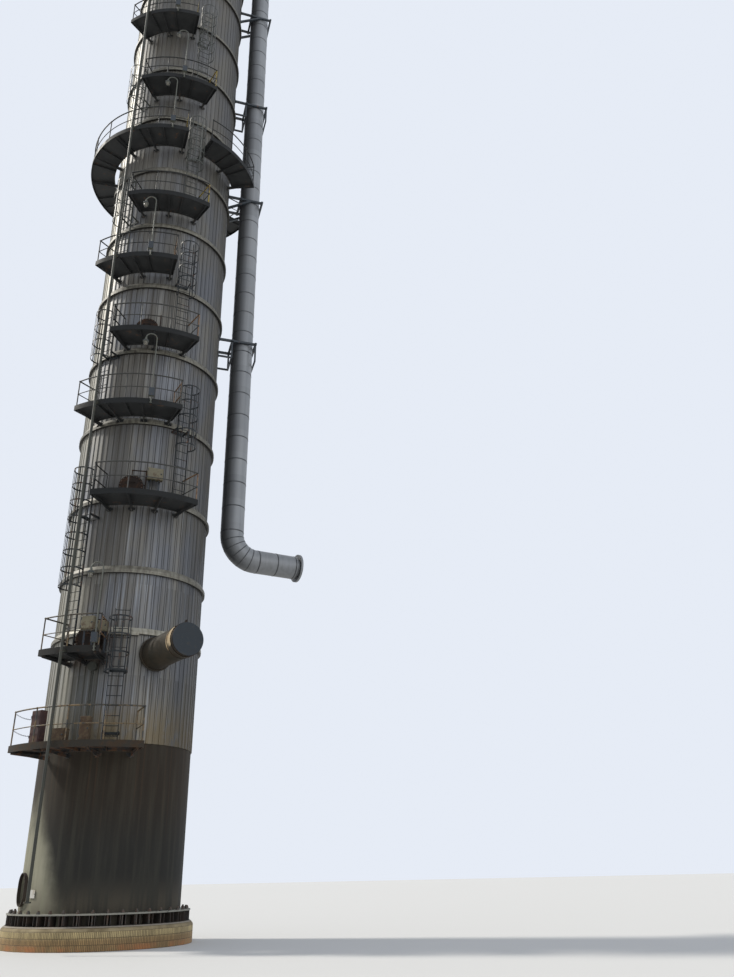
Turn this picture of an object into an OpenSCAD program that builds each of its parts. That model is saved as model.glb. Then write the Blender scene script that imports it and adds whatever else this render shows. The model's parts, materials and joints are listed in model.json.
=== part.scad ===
// Distillation column with skirt, ribbed cladding, platforms, caged ladders
// and overhead vapour line. Scale model at 1:2 of a column about 61 m tall.
// Origin: centre of the pedestal's foot. +Z is up, -Y is the front.
// Angles run from the front (-Y) towards +X.

/* [Pedestal and base] */
// How far the round concrete pedestal stands out beyond the base plate
pedestal_lip = 51.7; // [30:0.1:120]
// Height of the pedestal
pedestal_h = 290; // [200:5:500]
// Rounding of the pedestal's top edge
pedestal_edge = 45; // [10:5:80]
// Width of the anchor chairs beyond the skirt
chair_w = 155; // [135:1:160]
// Thickness of the base plate and of the chairs' top ring
base_t = 20; // [12:1:30]
// Height of the chair gussets
chair_h = 135; // [100:5:200]
// Number of anchor bolts
bolt_count = 40; // [24:4:48]
// Radius of one anchor bolt
bolt_r = 16; // [10:1:20]
// Thickness of one chair gusset
gusset_t = 8; // [6:1:12]

/* [Vessel] */
// Outer radius of the steel shell
shell_r = 1165; // [1150:5:1180]
// Wall of the steel shell and heads
shell_t = 12; // [8:1:16]
// Wall of the skirt with its fireproofing
skirt_t = 28; // [20:1:32]
// Height of the lower tangent line above the ground
tangent_z = 2750; // [2600:10:2900]
// Thickness of the insulation under the cladding
insulation_t = 34; // [30:1:50]
// Height of the lowest two cladding rings
low_ring_z = 4485; // [4450:5:4520]
// Second cladding ring above the first one
low_ring_step = 1045; // [1000:5:1100]
// Third cladding ring, where the even spacing begins
ring_z0 = 6820; // [6780:5:6860]
// Even spacing of the cladding rings
ring_pitch = 1500; // [1490:5:1510]
// Distance from the last ring to the upper tangent line
top_margin = 1000; // [900:10:1100]

/* [Cladding] */
// Height of one standing rib
rib_h = 10; // [6:1:14]
// Width of one standing rib at its foot
rib_w = 30; // [20:1:36]
// Number of ribs round the column
rib_count = 70; // [60:2:80]
// How far a ring stands out from the ribs
ring_out = 42; // [30:1:48]
// Height of a ring's upright edge
ring_h = 70; // [50:1:80]
// Height of the rain slope above a ring's edge
ring_slope = 58; // [0:1:80]

/* [Skirt access] */
// Angle of the access opening
access_phi = -70; // [-80:1:-60]
// Height of the opening's middle above the ground
access_z = 780; // [760:5:900]
// Width of the opening
access_w = 300; // [240:5:340]
// Height of the opening
access_h = 430; // [400:5:500]
// How far the access frame stands out
access_out = 45; // [30:1:60]

/* [Platforms] */
// Clearance between the rings and the decks' inner edge
deck_gap = 38.7; // [20:0.1:60]
// Width of the decks
deck_w = 505; // [480:5:560]
// Thickness of the deck plate
plate_t = 8; // [6:1:12]
// Depth of the edge channel below the deck
edge_h = 50; // [40:1:70]
// Height of the toe plate above the deck
toe_h = 50; // [40:1:60]
// Depth of a bracket at the column
bracket_h = 80; // [70:5:120]
// Reach of a bracket's gusset from the column
bracket_reach = 300; // [250:5:400]
// Width of a bracket's seat
seat_w = 60; // [50:1:80]
// Height of the lowest deck
deck_0_z = 2700; // [2660:5:2740]
// Height of the second deck
deck_1_z = 4095; // [4050:5:4140]

/* [Railings] */
// Height of the top rail above the deck
rail_h = 550; // [500:10:600]
// Radius of the top rail
rail_r = 12; // [11:1:15]
// Radius of the middle rail
mid_rail_r = 8; // [6:1:8]
// Largest distance between two posts
post_pitch = 640; // [500:10:800]

/* [Ladders] */
// Distance of the rungs from the rings
ladder_gap = 171; // [150:1:190]
// Half the distance between the two stiles
stile_x = 112; // [100:1:120]
// Distance between rungs
rung_pitch = 150; // [125:5:175]
// Radius of one rung
rung_r = 6; // [5:1:8]
// Radius of a cage hoop
hoop_r = 180; // [170:1:190]
// Distance between hoops
hoop_pitch = 300; // [250:10:400]
// Free height below the lowest hoop
hoop_start = 1080; // [1000:10:1150]
// How far the stiles rise above the top rail
stile_over = 180; // [0:10:250]

/* [Vapour line] */
// Outer radius of the jacketed vapour line
line_r = 220; // [180:5:230]
// Wall of the jacketed line, pipe and insulation
line_wall = 46; // [30:1:60]
// Clearance between the rings and the vapour line
line_gap = 228.7; // [200:0.1:320]
// Angle of the line round the column
line_phi = 92; // [88:1:96]
// Height of the horizontal run's axis
run_z = 6350; // [6200:10:6500]
// Length of the horizontal run after the elbow
run_len = 900; // [700:10:1200]
// Direction of the run, from +X towards +Y
run_turn = 13; // [0:1:20]
// Radius of the outlet flange
flange_r = 270; // [260:1:300]
// Thickness of the outlet flange
flange_t = 40; // [30:1:50]

/* [Nozzles] */
// Radius of the blanked stub nozzle
stub_r = 250; // [220:5:280]
// How far the stub stands out from the shell
stub_len = 1235; // [1000:5:1335]
// Angle of the stub
stub_phi = 21; // [18:1:24]
// Height of the stub's axis
stub_z = 4175; // [4150:5:4200]
// Radius of a manway neck
manway_r = 155; // [140:5:170]
// Height of a manway's axis above its deck
manway_rise = 260; // [250:5:430]
// How far a manway's face stands out from the ribs
manway_out = 170; // [150:5:200]
// Radius of a manway flange and cover
manway_flange_r = 205; // [195:5:220]
// Radius of a small instrument nozzle
small_r = 45; // [35:1:60]
// Length of the drain line under the second deck
drop_len = 1060; // [800:10:1100]
// Radius of the bottom outlet pipe
outlet_r = 84; // [60:1:110]
// Height of the bottom outlet's run above the ground
outlet_z = 1750; // [1650:10:1850]

/* [Lamp posts] */
// Height of a lamp post's upright above its deck
lamp_h = 1280; // [1100:10:1320]
// Distance between the upright and the lamp's axis
lamp_reach = 190; // [160:5:220]
// Radius of the post's pipe
lamp_pipe_r = 11; // [8:1:14]
// Radius of the lamp's shade
lamp_shade_r = 52; // [40:1:60]

/* [Top davit] */
// Height of the davit's post above the top deck
davit_h = 1150; // [1000:10:1300]
// Length of the davit's boom
davit_boom = 950; // [800:10:1000]
// Lean of the boom from the upright
davit_lean = 62; // [50:1:75]

/* [Hidden] */
$fn = 64;

// Clearance where round faces meet, and hairline between pieces of one node
gap = 0.3;
seam = 0.2;
// Number of evenly spaced rings above the lowest two
ring_n = 15;
top_z = ring_z0 + (ring_n - 1)*ring_pitch + top_margin;
function ring_z(k) = ring_z0 + k*ring_pitch;
ring_list = [low_ring_z, low_ring_z + low_ring_step, each [for (k = [0:ring_n - 1]) ring_z(k)]];

// Cladding radii
pan_r = shell_r + gap + insulation_t;
rib_top = pan_r + rib_h;
rib_pitch = 2*PI*pan_r/rib_count;
ring_r = rib_top + ring_out;
stub_end = shell_r + stub_len;
seat_r = rib_top + gap;

// Base
skirt_in = shell_r + gap;
skirt_r = skirt_in + skirt_t;
skirt_lap = 40;
skirt_z0 = pedestal_h + base_t;
skirt_z1 = tangent_z + skirt_lap;
base_in = skirt_in - 70;
base_out = skirt_r + chair_w;
pedestal_r = base_out + pedestal_lip;
bolt_circle = skirt_r + chair_w*0.65;
chair_top = skirt_z0 + chair_h + base_t;

// Dished ends: crown and knuckle as parts of the radius
crown_k = 1.8;
knuckle_k = 0.346;
head_drop = sqrt(pow(crown_k - knuckle_k, 2) - pow(1 - knuckle_k, 2));
head_h = (crown_k - head_drop)*shell_r;

// Platform schedule: deck heights on the rings' spacing, first and last angle
// of each deck, and the angle of the ladder that goes up from it
deck_z = [deck_0_z, deck_1_z, ring_z(-0.063), ring_z(1.087), ring_z(2.103),
    ring_z(3.22), ring_z(4.253), ring_z(5.437), ring_z(6.43),
    ring_z(7.787), ring_z(9.133), ring_z(10.48), ring_z(11.827),
    ring_z(13.173), top_z - 20];
left_deck = [-47.5, 6];
right_deck = [-29.5, 23.5];
deck_span = [[-62, 12], [-47.5, -13.3], [-28.5, 30.5], [-47.5, 16.5], right_deck,
    left_deck, right_deck, [112, 365.5], [-30.5, 22], [-47.5, 5],
    right_deck, left_deck, right_deck, left_deck, right_deck];
ring_deck_index = 7;
ring_deck_part = [20.5, 72];
ladder_phi = [-5.3, -40, 24, -40, 15, -37.5, 13, -40, 14, -39, 14.5, -38, 14.5, -38];

// Widest deck section made in one piece, in degrees
section_max = 60;

// Decks: where ladders arrive at the last angle the end stays open there
function opens_right(i) = i > 0 && ladder_phi[i - 1] > deck_span[i][1] - 10;

// Deck radii
deck_in = ring_r + deck_gap;
deck_out = deck_in + deck_w;

// Railing
rail_at = deck_out - plate_t - rail_r - 2;
post_r = rail_r - 1.5;
mid_h = rail_h*0.52;
inner_post = deck_in + 26;

// Ladder
rung_at = ring_r + ladder_gap;
stile_t = 8;
stile_w = 32;
strap_t = 4;
strap_w = 20;
hoop_t = 5;
hoop_h = 24;
hoop_in = hoop_r - hoop_t;
hoop_end_x = stile_x + stile_t/2 + gap;
hoop_c = sqrt(hoop_in*hoop_in - hoop_end_x*hoop_end_x);
standoff_t = 10;
standoff_h = 40;
standoff_rise = 220;
clip_t = 8;
clip_a = asin((stile_x + 12)/seat_r);
clip_root = sqrt(pow(seat_r + clip_t/2, 2) - pow(stile_x - standoff_t/2, 2));

// Manways stand on these decks, at these angles
manway_deck = [1, 2, 4, 9, 12];
manway_phi = [-26.2, -9, -10, -22, -8];
function manway_z(k) = deck_z[manway_deck[k]] + manway_rise;
manway_neck_t = 14;
manway_flange_t = 26;
manway_cover_t = 30;

// Drain nozzle below the second deck, with a line down to the lowest deck
drop_phi = -22.5;
drop_z = deck_1_z - edge_h - 2.6*small_r;
drop_pipe_r = 12;

// Lamp posts stand at the rails of these decks, at these angles
lamp_deck = [1, 3, 5, 7, 8, 9, 11, 13];
lamp_phi = [-15.8, -1.2, -10.2, -5.3, -1.3, -10.2, -5.3, -1.3];
lamp_at = deck_out + gap + 6 + lamp_pipe_r;

// Vapour line
line_in = line_r - line_wall;
line_x = ring_r + line_gap + line_r;
line_pos = [line_x*sin(line_phi), -line_x*cos(line_phi)];
bend_r = line_x/2;
spigot_r = line_in + 16;
neck_r = line_r + 30;
neck_z = top_z + head_h + insulation_t + 60;
bend_z = neck_z + 120;
elbow_r = 480;
outlet_dir = line_phi - 90;
outlet_bolt_n = 16;
outlet_bolt_circle = (line_in + flange_r + 12)/2 + 22;
outlet_bolt_r = 11;

// Supports of the vapour line: heights, and which carry load with a strut
support_z = [ring_z(2.787), ring_z(5.353), ring_z(7.353), ring_z(9.453),
    ring_z(11.453), ring_z(13.453)];
support_strut = [0, 1, 0, 1, 0, 1];
beam = 44;
strut_drop = 330;
leg_w = 32;
leg_h = 400;

// Utility riser
riser_at = deck_out + 75;
riser_phi = -31;
riser_r = 23;
riser_z0 = 620;
riser_deck = [1, 3, 5, 7, 9, 11, 13];
riser_top = deck_z[14] + rail_h;

// Places a child at an angle, radius and height; -Y points away from the axis
module at(phi, r, z) {
    rotate([0, 0, phi])
        translate([0, -r, z])
            children();
}

// Sweeps a radius-height profile from angle a0 to angle a1
module sector(a0, a1) {
    rotate([0, 0, a0 - 90])
        rotate_extrude(angle = a1 - a0, $fn = 240)
            children();
}

// Ring with a rectangular section
module tube(r_in, r_out, h) {
    difference() {
        cylinder(r = r_out, h = h, $fn = 96);
        translate([0, 0, -1])
            cylinder(r = r_in, h = h + 2, $fn = 96);
    }
}

// Round bar along -Y from radius r0 to r1, before it is placed with at()
module radial_bar(r, r0, r1) {
    translate([0, -r0, 0])
        rotate([90, 0, 0])
            cylinder(r = r, h = r1 - r0);
}

// Filled half profile of a dished end, grown by off on every side
module dished_profile(off) {
    c = head_drop*shell_r;
    kx = shell_r*(1 - knuckle_k);
    reach = 1.4*crown_k*shell_r;
    slope = atan2(kx, c);
    intersection() {
        square([2*shell_r, 2*shell_r]);
        union() {
            intersection() {
                translate([0, -c])
                    circle(r = crown_k*shell_r + off, $fn = 180);
                polygon([[0, -c], [0, reach - c], [reach*sin(slope), reach*cos(slope) - c]]);
            }
            translate([kx, 0])
                circle(r = knuckle_k*shell_r + off, $fn = 90);
        }
    }
}

// Hollow dished end between two offsets, opening down
module dished_end(off_in, off_out) {
    rotate_extrude($fn = 96)
        difference() {
            dished_profile(off_out);
            dished_profile(off_in);
        }
}

module pedestal() {
    color("tan")
        rotate_extrude($fn = 96) {
            square([pedestal_r - pedestal_edge, pedestal_h]);
            square([pedestal_r, pedestal_h - pedestal_edge]);
            translate([pedestal_r - pedestal_edge, pedestal_h - pedestal_edge])
                circle(r = pedestal_edge);
        }
}

module bolt_holes() {
    for (k = [0:bolt_count - 1])
        at((k + 0.5)*360/bolt_count, bolt_circle, pedestal_h - 1)
            cylinder(r = bolt_r + 2, h = chair_top - pedestal_h + 2, $fn = 32);
}

// Base plate, and chairs over it made in lengths of four bolts each
module base_ring() {
    gusset_x = bolt_r + 22;
    step = 360/bolt_count;
    splice = 0.01;
    color("dimgray")
        difference() {
            union() {
                translate([0, 0, pedestal_h])
                    tube(base_in, base_out, base_t);
                for (s = [0:4:bolt_count - 1]) {
                    sector(s*step + splice, (s + 4)*step - splice)
                        translate([skirt_r + gap, chair_top - base_t])
                            square([chair_w - gap, base_t]);
                    for (k = [s:s + 3], side = [-1, 1])
                        at((k + 0.5)*step, 0, skirt_z0 + seam)
                            translate([side*gusset_x - gusset_t/2, -base_out + 12, 0])
                                cube([gusset_t, chair_w - 13, chair_h + 2]);
                }
            }
            bolt_holes();
        }
}

module anchor_bolts() {
    nut_h = 26;
    color("darkgray")
        for (k = [0:bolt_count - 1])
            at((k + 0.5)*360/bolt_count, bolt_circle, pedestal_h) {
                cylinder(r = bolt_r, h = chair_top - pedestal_h + nut_h + 20, $fn = 32);
                translate([0, 0, chair_top - pedestal_h])
                    cylinder(r = bolt_r*1.7, h = nut_h, $fn = 6);
            }
}

// Upright slot outline, w wide and h high, lying in X and Y
module slot_outline(w, h) {
    square([w, h - w], center = true);
    for (side = [-1, 1])
        translate([0, side*(h - w)/2])
            circle(r = w/2);
}

// Slot outline pushed out along -Y between two radii
module slot_block(w, h, r0, r1) {
    translate([0, -r0, 0])
        rotate([90, 0, 0])
            linear_extrude(r1 - r0)
                slot_outline(w, h);
}

module skirt() {
    frame_t = 12;
    color("darkseagreen")
        difference() {
            union() {
                translate([0, 0, skirt_z0])
                    tube(skirt_in, skirt_r, skirt_z1 - skirt_z0);
                at(access_phi, 0, access_z)
                    slot_block(access_w + 2*frame_t, access_h + 2*frame_t,
                        skirt_in + 8, skirt_r + access_out);
                at(180, 0, outlet_z)
                    radial_bar(outlet_r + 22, skirt_in + 8, skirt_r + 36);
            }
            at(access_phi, 0, access_z)
                slot_block(access_w, access_h, skirt_in - 80, skirt_r + access_out + 1);
            at(180, 0, outlet_z)
                radial_bar(outlet_r + gap, skirt_in - 80, skirt_r + 80);
        }
}

module bottom_head() {
    color("dimgray")
        difference() {
            translate([0, 0, tangent_z])
                mirror([0, 0, 1])
                    dished_end(-shell_t, 0);
            translate([0, 0, tangent_z - head_h - 10])
                cylinder(r = outlet_r + gap, h = head_h);
        }
}

// Outlet pipe from the bottom head, out through the skirt at the back
module bottom_outlet() {
    wall = 9;
    bend = 1.9*outlet_r;
    drop = tangent_z - head_h - outlet_z - bend;
    reach = skirt_r + 170;
    color("gray") {
        translate([0, 0, outlet_z + bend + seam])
            tube(outlet_r - wall, outlet_r, drop + shell_t + 20);
        translate([0, 0, outlet_z + bend])
            rotate([0, 0, 90])
                translate([bend, 0, 0])
                    rotate([90, 0, 0])
                        rotate([0, 0, 180])
                            rotate_extrude(angle = 90, $fn = 96)
                                translate([bend, 0])
                                    difference() {
                                        circle(r = outlet_r);
                                        circle(r = outlet_r - wall);
                                    }
        translate([0, bend + seam, outlet_z])
            rotate([-90, 0, 0]) {
                tube(outlet_r - wall, outlet_r, reach - bend - seam);
                translate([0, 0, reach - bend - seam - 26])
                    tube(outlet_r - wall, outlet_r + 50, 26);
            }
    }
}

module neck_holes(r) {
    for (k = [0:len(manway_deck) - 1])
        at(manway_phi[k], 0, manway_z(k))
            radial_bar(manway_r + r, shell_r - 120, pan_r + 60);
    at(stub_phi, 0, stub_z)
        radial_bar(stub_r + r, shell_r - 200, pan_r + 60);
    at(drop_phi, 0, drop_z)
        radial_bar(small_r + r, shell_r - 60, pan_r + 60);
}

module shell() {
    color("slategray")
        difference() {
            translate([0, 0, tangent_z])
                tube(shell_r - shell_t, shell_r, top_z - tangent_z);
            neck_holes(gap);
        }
}

module top_head() {
    color("slategray")
        difference() {
            translate([0, 0, top_z])
                dished_end(-shell_t, 0);
            translate([0, 0, top_z])
                cylinder(r = spigot_r, h = 2*head_h);
        }
}

module head_jacket() {
    color("silver")
        difference() {
            translate([0, 0, top_z])
                dished_end(gap, insulation_t);
            translate([0, 0, top_z])
                cylinder(r = neck_r + gap, h = 2*head_h);
        }
}

// Outline of the ribbed cladding, as points round the column
function rib_points() = [for (k = [0:rib_count - 1], p = [[-0.5, 0], [-0.3, 1], [0.3, 1], [0.5, 0]])
    let (a = k*360/rib_count + p[0]*rib_w/pan_r*180/PI, r = pan_r + p[1]*rib_h)
    [r*sin(a), -r*cos(a)]];

module cladding(z0, z1) {
    color("silver")
        difference() {
            translate([0, 0, z0])
                linear_extrude(z1 - z0)
                    polygon(rib_points());
            translate([0, 0, z0 - 1])
                cylinder(r = shell_r + gap, h = z1 - z0 + 2, $fn = 240);
            neck_holes(gap);
        }
}

// Notches in the rings where a bracket, ladder clip or nozzle crosses them
module notch(phi, w, z0, z1) {
    if (len([for (z = ring_list) if (z + ring_h/2 + ring_slope > z0 && z - ring_h/2 < z1) z]) > 0)
        at(phi, 0, z0)
            translate([-w/2, -ring_r - 20, 0])
                cube([w, ring_out + 60, z1 - z0]);
}

// Ring with an upright edge and a rain slope up to the ribs
module ring_band() {
    inner = rib_top + gap;
    rotate_extrude($fn = 240)
        polygon([[inner, 0], [ring_r, 0], [ring_r, ring_h - 10],
            [inner + 4, ring_h + ring_slope], [inner, ring_h + ring_slope]]);
}

module ring_bands() {
    color("lightgray")
        difference() {
            for (z = ring_list)
                translate([0, 0, z - ring_h/2])
                    ring_band();
            for (i = [0:len(deck_z) - 1], a = bracket_angles(i))
                notch(a, 1.3*rib_pitch, deck_z[i] - edge_h - bracket_h - 4, deck_z[i] - edge_h + 2);
            for (i = [0:len(ladder_phi) - 1], z = standoff_heights(i))
                notch(ladder_phi[i], 2*stile_x + 40, z - standoff_h, z + standoff_h);
            for (k = [0:len(manway_deck) - 1])
                notch(manway_phi[k], 2*manway_flange_r + 30, manway_z(k) - manway_flange_r - 15,
                    manway_z(k) + manway_flange_r + 15);
            notch(stub_phi, 2*stub_r + 100, stub_z - stub_r - 50, stub_z + stub_r + 50);
            notch(drop_phi, 4*small_r, drop_z - drop_len, drop_z + 2*small_r);
        }
}

module stub_nozzle() {
    collar_w = 30;
    wall = 16;
    color("peru")
        at(stub_phi, 0, stub_z)
            difference() {
                union() {
                    radial_bar(stub_r, shell_r - 60, stub_end);
                    radial_bar(stub_r + 28, ring_r, ring_r + collar_w);
                    radial_bar(stub_r + 5, stub_end - 190, stub_end - 60);
                }
                radial_bar(stub_r - wall, shell_r - 61, stub_end + 1);
            }
}

module stub_blank() {
    blank_t = 18;
    color("steelblue")
        at(stub_phi, 0, stub_z)
            radial_bar(stub_r + 3, stub_end, stub_end + blank_t);
}

module manway_necks() {
    face = rib_top + manway_out;
    color("sienna")
        for (k = [0:len(manway_deck) - 1])
            at(manway_phi[k], 0, manway_z(k))
                difference() {
                    union() {
                        radial_bar(manway_r, shell_r - 40, face);
                        radial_bar(manway_flange_r, face - manway_flange_t, face);
                    }
                    radial_bar(manway_r - manway_neck_t, shell_r - 41, face + 1);
                }
}

// Blind cover with a lifting handle, hung from a swing arm on the neck's flange
module manway_covers() {
    face = rib_top + manway_out;
    post_x = manway_flange_r + 26;
    post_y = face - manway_flange_t/2;
    hook_y = face + manway_cover_t/2;
    arm_z = manway_flange_r + 95;
    arm_turn = atan2(hook_y - post_y, post_x);
    lug_z = 34;
    lug_x = sqrt(pow(manway_flange_r, 2) - pow(lug_z - 8, 2)) + gap;
    color("saddlebrown")
        for (k = [0:len(manway_deck) - 1])
            at(manway_phi[k], 0, manway_z(k)) {
                radial_bar(manway_flange_r, face, face + manway_cover_t);
                for (side = [-1, 1])
                    translate([side*60, 0, 60])
                        radial_bar(6, face + manway_cover_t - 2, face + manway_cover_t + 34);
                translate([-70, -face - manway_cover_t - 34, 60])
                    rotate([0, 90, 0])
                        cylinder(r = 7, h = 140);
                translate([0, -hook_y, manway_flange_r - 8])
                    cylinder(r = 7, h = arm_z - manway_flange_r + 8);
                translate([post_x, -post_y, arm_z])
                    rotate([0, -90, arm_turn])
                        cylinder(r = 11, h = norm([post_x, hook_y - post_y]) + 14);
                translate([post_x, -post_y, -60])
                    cylinder(r = 13, h = arm_z + 60 + 16);
                for (side = [-1, 1])
                    translate([lug_x, -post_y - 8, side*lug_z - 8])
                        cube([post_x - lug_x, 16, 16]);
            }
}

// Flanged nozzle with a thin drain line down to a valve at the lowest deck
module drop_lines() {
    reach = ring_r + 66;
    pipe_y = ring_r + 4 + drop_pipe_r;
    color("gray")
        at(drop_phi, 0, drop_z) {
            radial_bar(small_r, shell_r - 20, reach);
            radial_bar(small_r + 28, reach - 14, reach + 14);
            translate([0, -pipe_y, -drop_len])
                cylinder(r = drop_pipe_r, h = drop_len - small_r + 4);
            for (z = [small_r + 70, drop_len/2, drop_len - 90])
                translate([0, -pipe_y, -z])
                    cylinder(r = drop_pipe_r + 7, h = 14);
        }
}

// Swan-necked lamp post, clamped to the edge of a deck
module lamp_post() {
    for (z = [-36, 16])
        translate([-2*lamp_pipe_r, -lamp_at, z])
            cube([4*lamp_pipe_r, lamp_at - deck_out - gap, 14]);
    translate([0, -lamp_at, -44])
        cylinder(r = lamp_pipe_r, h = lamp_h + 44);
    translate([-45, -lamp_at - lamp_pipe_r - 50, 75])
        cube([90, 56, 150]);
    translate([-lamp_reach/2, -lamp_at, lamp_h + seam])
        rotate([90, 0, 0])
            rotate_extrude(angle = 180)
                translate([lamp_reach/2, 0])
                    circle(r = lamp_pipe_r);
    translate([-lamp_reach, -lamp_at, lamp_h])
        rotate_extrude()
            polygon([[0, 0], [lamp_pipe_r + 9, 0], [lamp_pipe_r + 9, -28], [lamp_shade_r, -62],
                [lamp_shade_r, -84], [lamp_shade_r - 12, -100], [0, -112]]);
}

module lamp_posts() {
    color("dimgray")
        for (k = [0:len(lamp_deck) - 1])
            at(lamp_phi[k], 0, deck_z[lamp_deck[k]])
                lamp_post();
}

// Vapour line: neck on the head, half-circle bend, riser, elbow and outlet
module pipe_bend(r_bend, angle) {
    rotate_extrude(angle = angle, $fn = 96)
        translate([r_bend, 0])
            difference() {
                circle(r = line_r);
                circle(r = line_in);
            }
}

module vapour_gooseneck() {
    foot = top_z + head_h - shell_t - 6;
    saddle = top_z + head_h - 60;
    color("gainsboro") {
        rotate_extrude($fn = 96) {
            difference() {
                translate([line_in, saddle])
                    square([neck_r - line_in, neck_z - saddle]);
                translate([0, top_z])
                    dished_profile(gap);
            }
            translate([line_in, foot])
                square([spigot_r - gap - line_in, neck_z - foot]);
            translate([line_in, neck_z - 1])
                square([line_r - line_in, bend_z - seam - neck_z + 1]);
        }
        translate([0, 0, bend_z])
            rotate([0, 0, line_phi - 90])
                translate([bend_r, 0, 0])
                    rotate([90, 0, 0])
                        pipe_bend(bend_r, 180);
    }
}

module vapour_riser() {
    color("gainsboro")
        translate([line_pos[0], line_pos[1], run_z + elbow_r])
            tube(line_in, line_r, bend_z - run_z - elbow_r);
}

module vapour_elbow() {
    color("gainsboro")
        translate([line_pos[0], line_pos[1], run_z + elbow_r])
            rotate([0, 0, run_turn])
                translate([elbow_r, 0, 0])
                    rotate([-90, 0, 0])
                        rotate([0, 0, 180])
                            mirror([0, 1, 0])
                                pipe_bend(elbow_r, 90);
}

module vapour_outlet() {
    color("gainsboro")
        translate([line_pos[0], line_pos[1], run_z])
            rotate([0, 0, run_turn])
                translate([elbow_r, 0, 0])
                    rotate([0, 90, 0]) {
                        tube(line_in, line_r, run_len - 90);
                        difference() {
                            union() {
                                translate([0, 0, run_len - 90])
                                    tube(line_in, line_in + 14, 90);
                                translate([0, 0, run_len - flange_t])
                                    tube(line_in, flange_r, flange_t);
                            }
                            for (k = [0:outlet_bolt_n - 1])
                                rotate([0, 0, (k + 0.5)*360/outlet_bolt_n])
                                    translate([outlet_bolt_circle, 0, run_len - flange_t - 1])
                                        cylinder(r = outlet_bolt_r, h = flange_t + 2, $fn = 32);
                        }
                    }
}

// Curved pad between angles a0 and a1 that bears on the ribs, h high
module wall_pad(a0, a1, t, h) {
    sector(a0, a1)
        translate([seat_r, 0])
            square([t, h]);
}

// Legs below a guide frame, tied back to the column at their feet
module line_guide(half, root) {
    near = line_x - half;
    for (side = [-1, 1]) {
        for (y = [near, line_x + half])
            translate([side*half - leg_w/2, -y - leg_w/2, -leg_h])
                cube([leg_w, leg_w, leg_h + 1]);
        translate([side*half - leg_w/2, -near, -leg_h])
            cube([leg_w, near - root, leg_w]);
    }
    for (y = [near, line_x + half])
        translate([-half, -y - leg_w/2, -leg_h])
            cube([2*half, leg_w, leg_w]);
}

// Square frame round the vapour line, carried from the column
module line_support(z, strut) {
    half = line_r + gap + beam/2;
    far = line_x + half;
    pad_t = 10;
    pad_a = asin((half - beam/2 - 8)/seat_r);
    pad_b = max(asin((half + beam/2 + 8)/seat_r), pad_a + 1.1*360/rib_count);
    root = sqrt(pow(seat_r + pad_t/2, 2) - pow(half - beam/2, 2));
    strut_len = norm([strut_drop, line_x - root]);
    for (a = [line_phi - pad_b, line_phi + pad_a], h = strut > 0 ? [0, -strut_drop - 40] : [0, -leg_h])
        translate([0, 0, z + h - 10])
            wall_pad(a, a + pad_b - pad_a, pad_t, beam + 40);
    at(line_phi, 0, z) {
        for (side = [-1, 1]) {
            translate([side*half - beam/2, -far - beam/2, 0])
                cube([beam, far + beam/2 - root, beam]);
            if (strut > 0)
                translate([side*half - beam/2, -root, -strut_drop])
                    rotate([-atan2(strut_drop, line_x - root), 0, 0])
                        translate([0, -strut_len, 0])
                            cube([beam, strut_len, beam]);
        }
        for (y = [line_x - half, line_x + half])
            translate([-half - beam, -y - beam/2, 0])
                cube([2*half + 2*beam, beam, beam]);
        if (strut == 0)
            line_guide(half, root);
    }
}

module line_supports() {
    color("darkslategray")
        for (k = [0:len(support_z) - 1])
            line_support(support_z[k], support_strut[k]);
}

module utility_riser() {
    color("darkslategray")
        union() {
            at(riser_phi, riser_at, riser_z0)
                cylinder(r = riser_r, h = riser_top - riser_z0);
            at(riser_phi, riser_at, riser_z0)
                cylinder(r = riser_r + 26, h = 20);
            for (i = riser_deck)
                at(riser_phi, 0, deck_z[i] - edge_h + 8)
                    translate([-riser_r, -riser_at, 0])
                        cube([2*riser_r, riser_at - deck_out - gap, 36]);
        }
}

module top_davit() {
    davit_r = 30;
    stay = 0.3*davit_h;
    foot = deck_z[len(deck_z) - 1];
    color("darkslategray")
        at(-12, deck_out - 130, foot) {
            cylinder(r = davit_r, h = davit_h);
            cylinder(r = davit_r + 50, h = 16);
            translate([0, 0, davit_h - davit_r])
                rotate([davit_lean, 0, 0])
                    cylinder(r = davit_r*0.8, h = davit_boom);
            translate([0, 0, davit_h - davit_r - stay])
                rotate([davit_lean/2, 0, 0])
                    cylinder(r = davit_r*0.5, h = 2*stay*cos(davit_lean/2) - davit_r);
        }
}

// Bays of railing between angles a0 and a1
function rail_bays(a0, a1) = max(1, ceil((a1 - a0)*PI/180*rail_at/post_pitch));

// Bracket angles of deck i, just inside both ends and evenly between
function span_brackets(a0, a1) = let (n = max(2, ceil((a1 - a0)/27) + 1))
    [for (k = [0:n - 1]) a0 + 2.5 + k*(a1 - a0 - 5)/(n - 1)];
function bracket_angles(i) = i == ring_deck_index
    ? concat(span_brackets(deck_span[i][0], deck_span[i][1]),
        span_brackets(ring_deck_part[0], ring_deck_part[1]))
    : span_brackets(deck_span[i][0], deck_span[i][1]);

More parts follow.
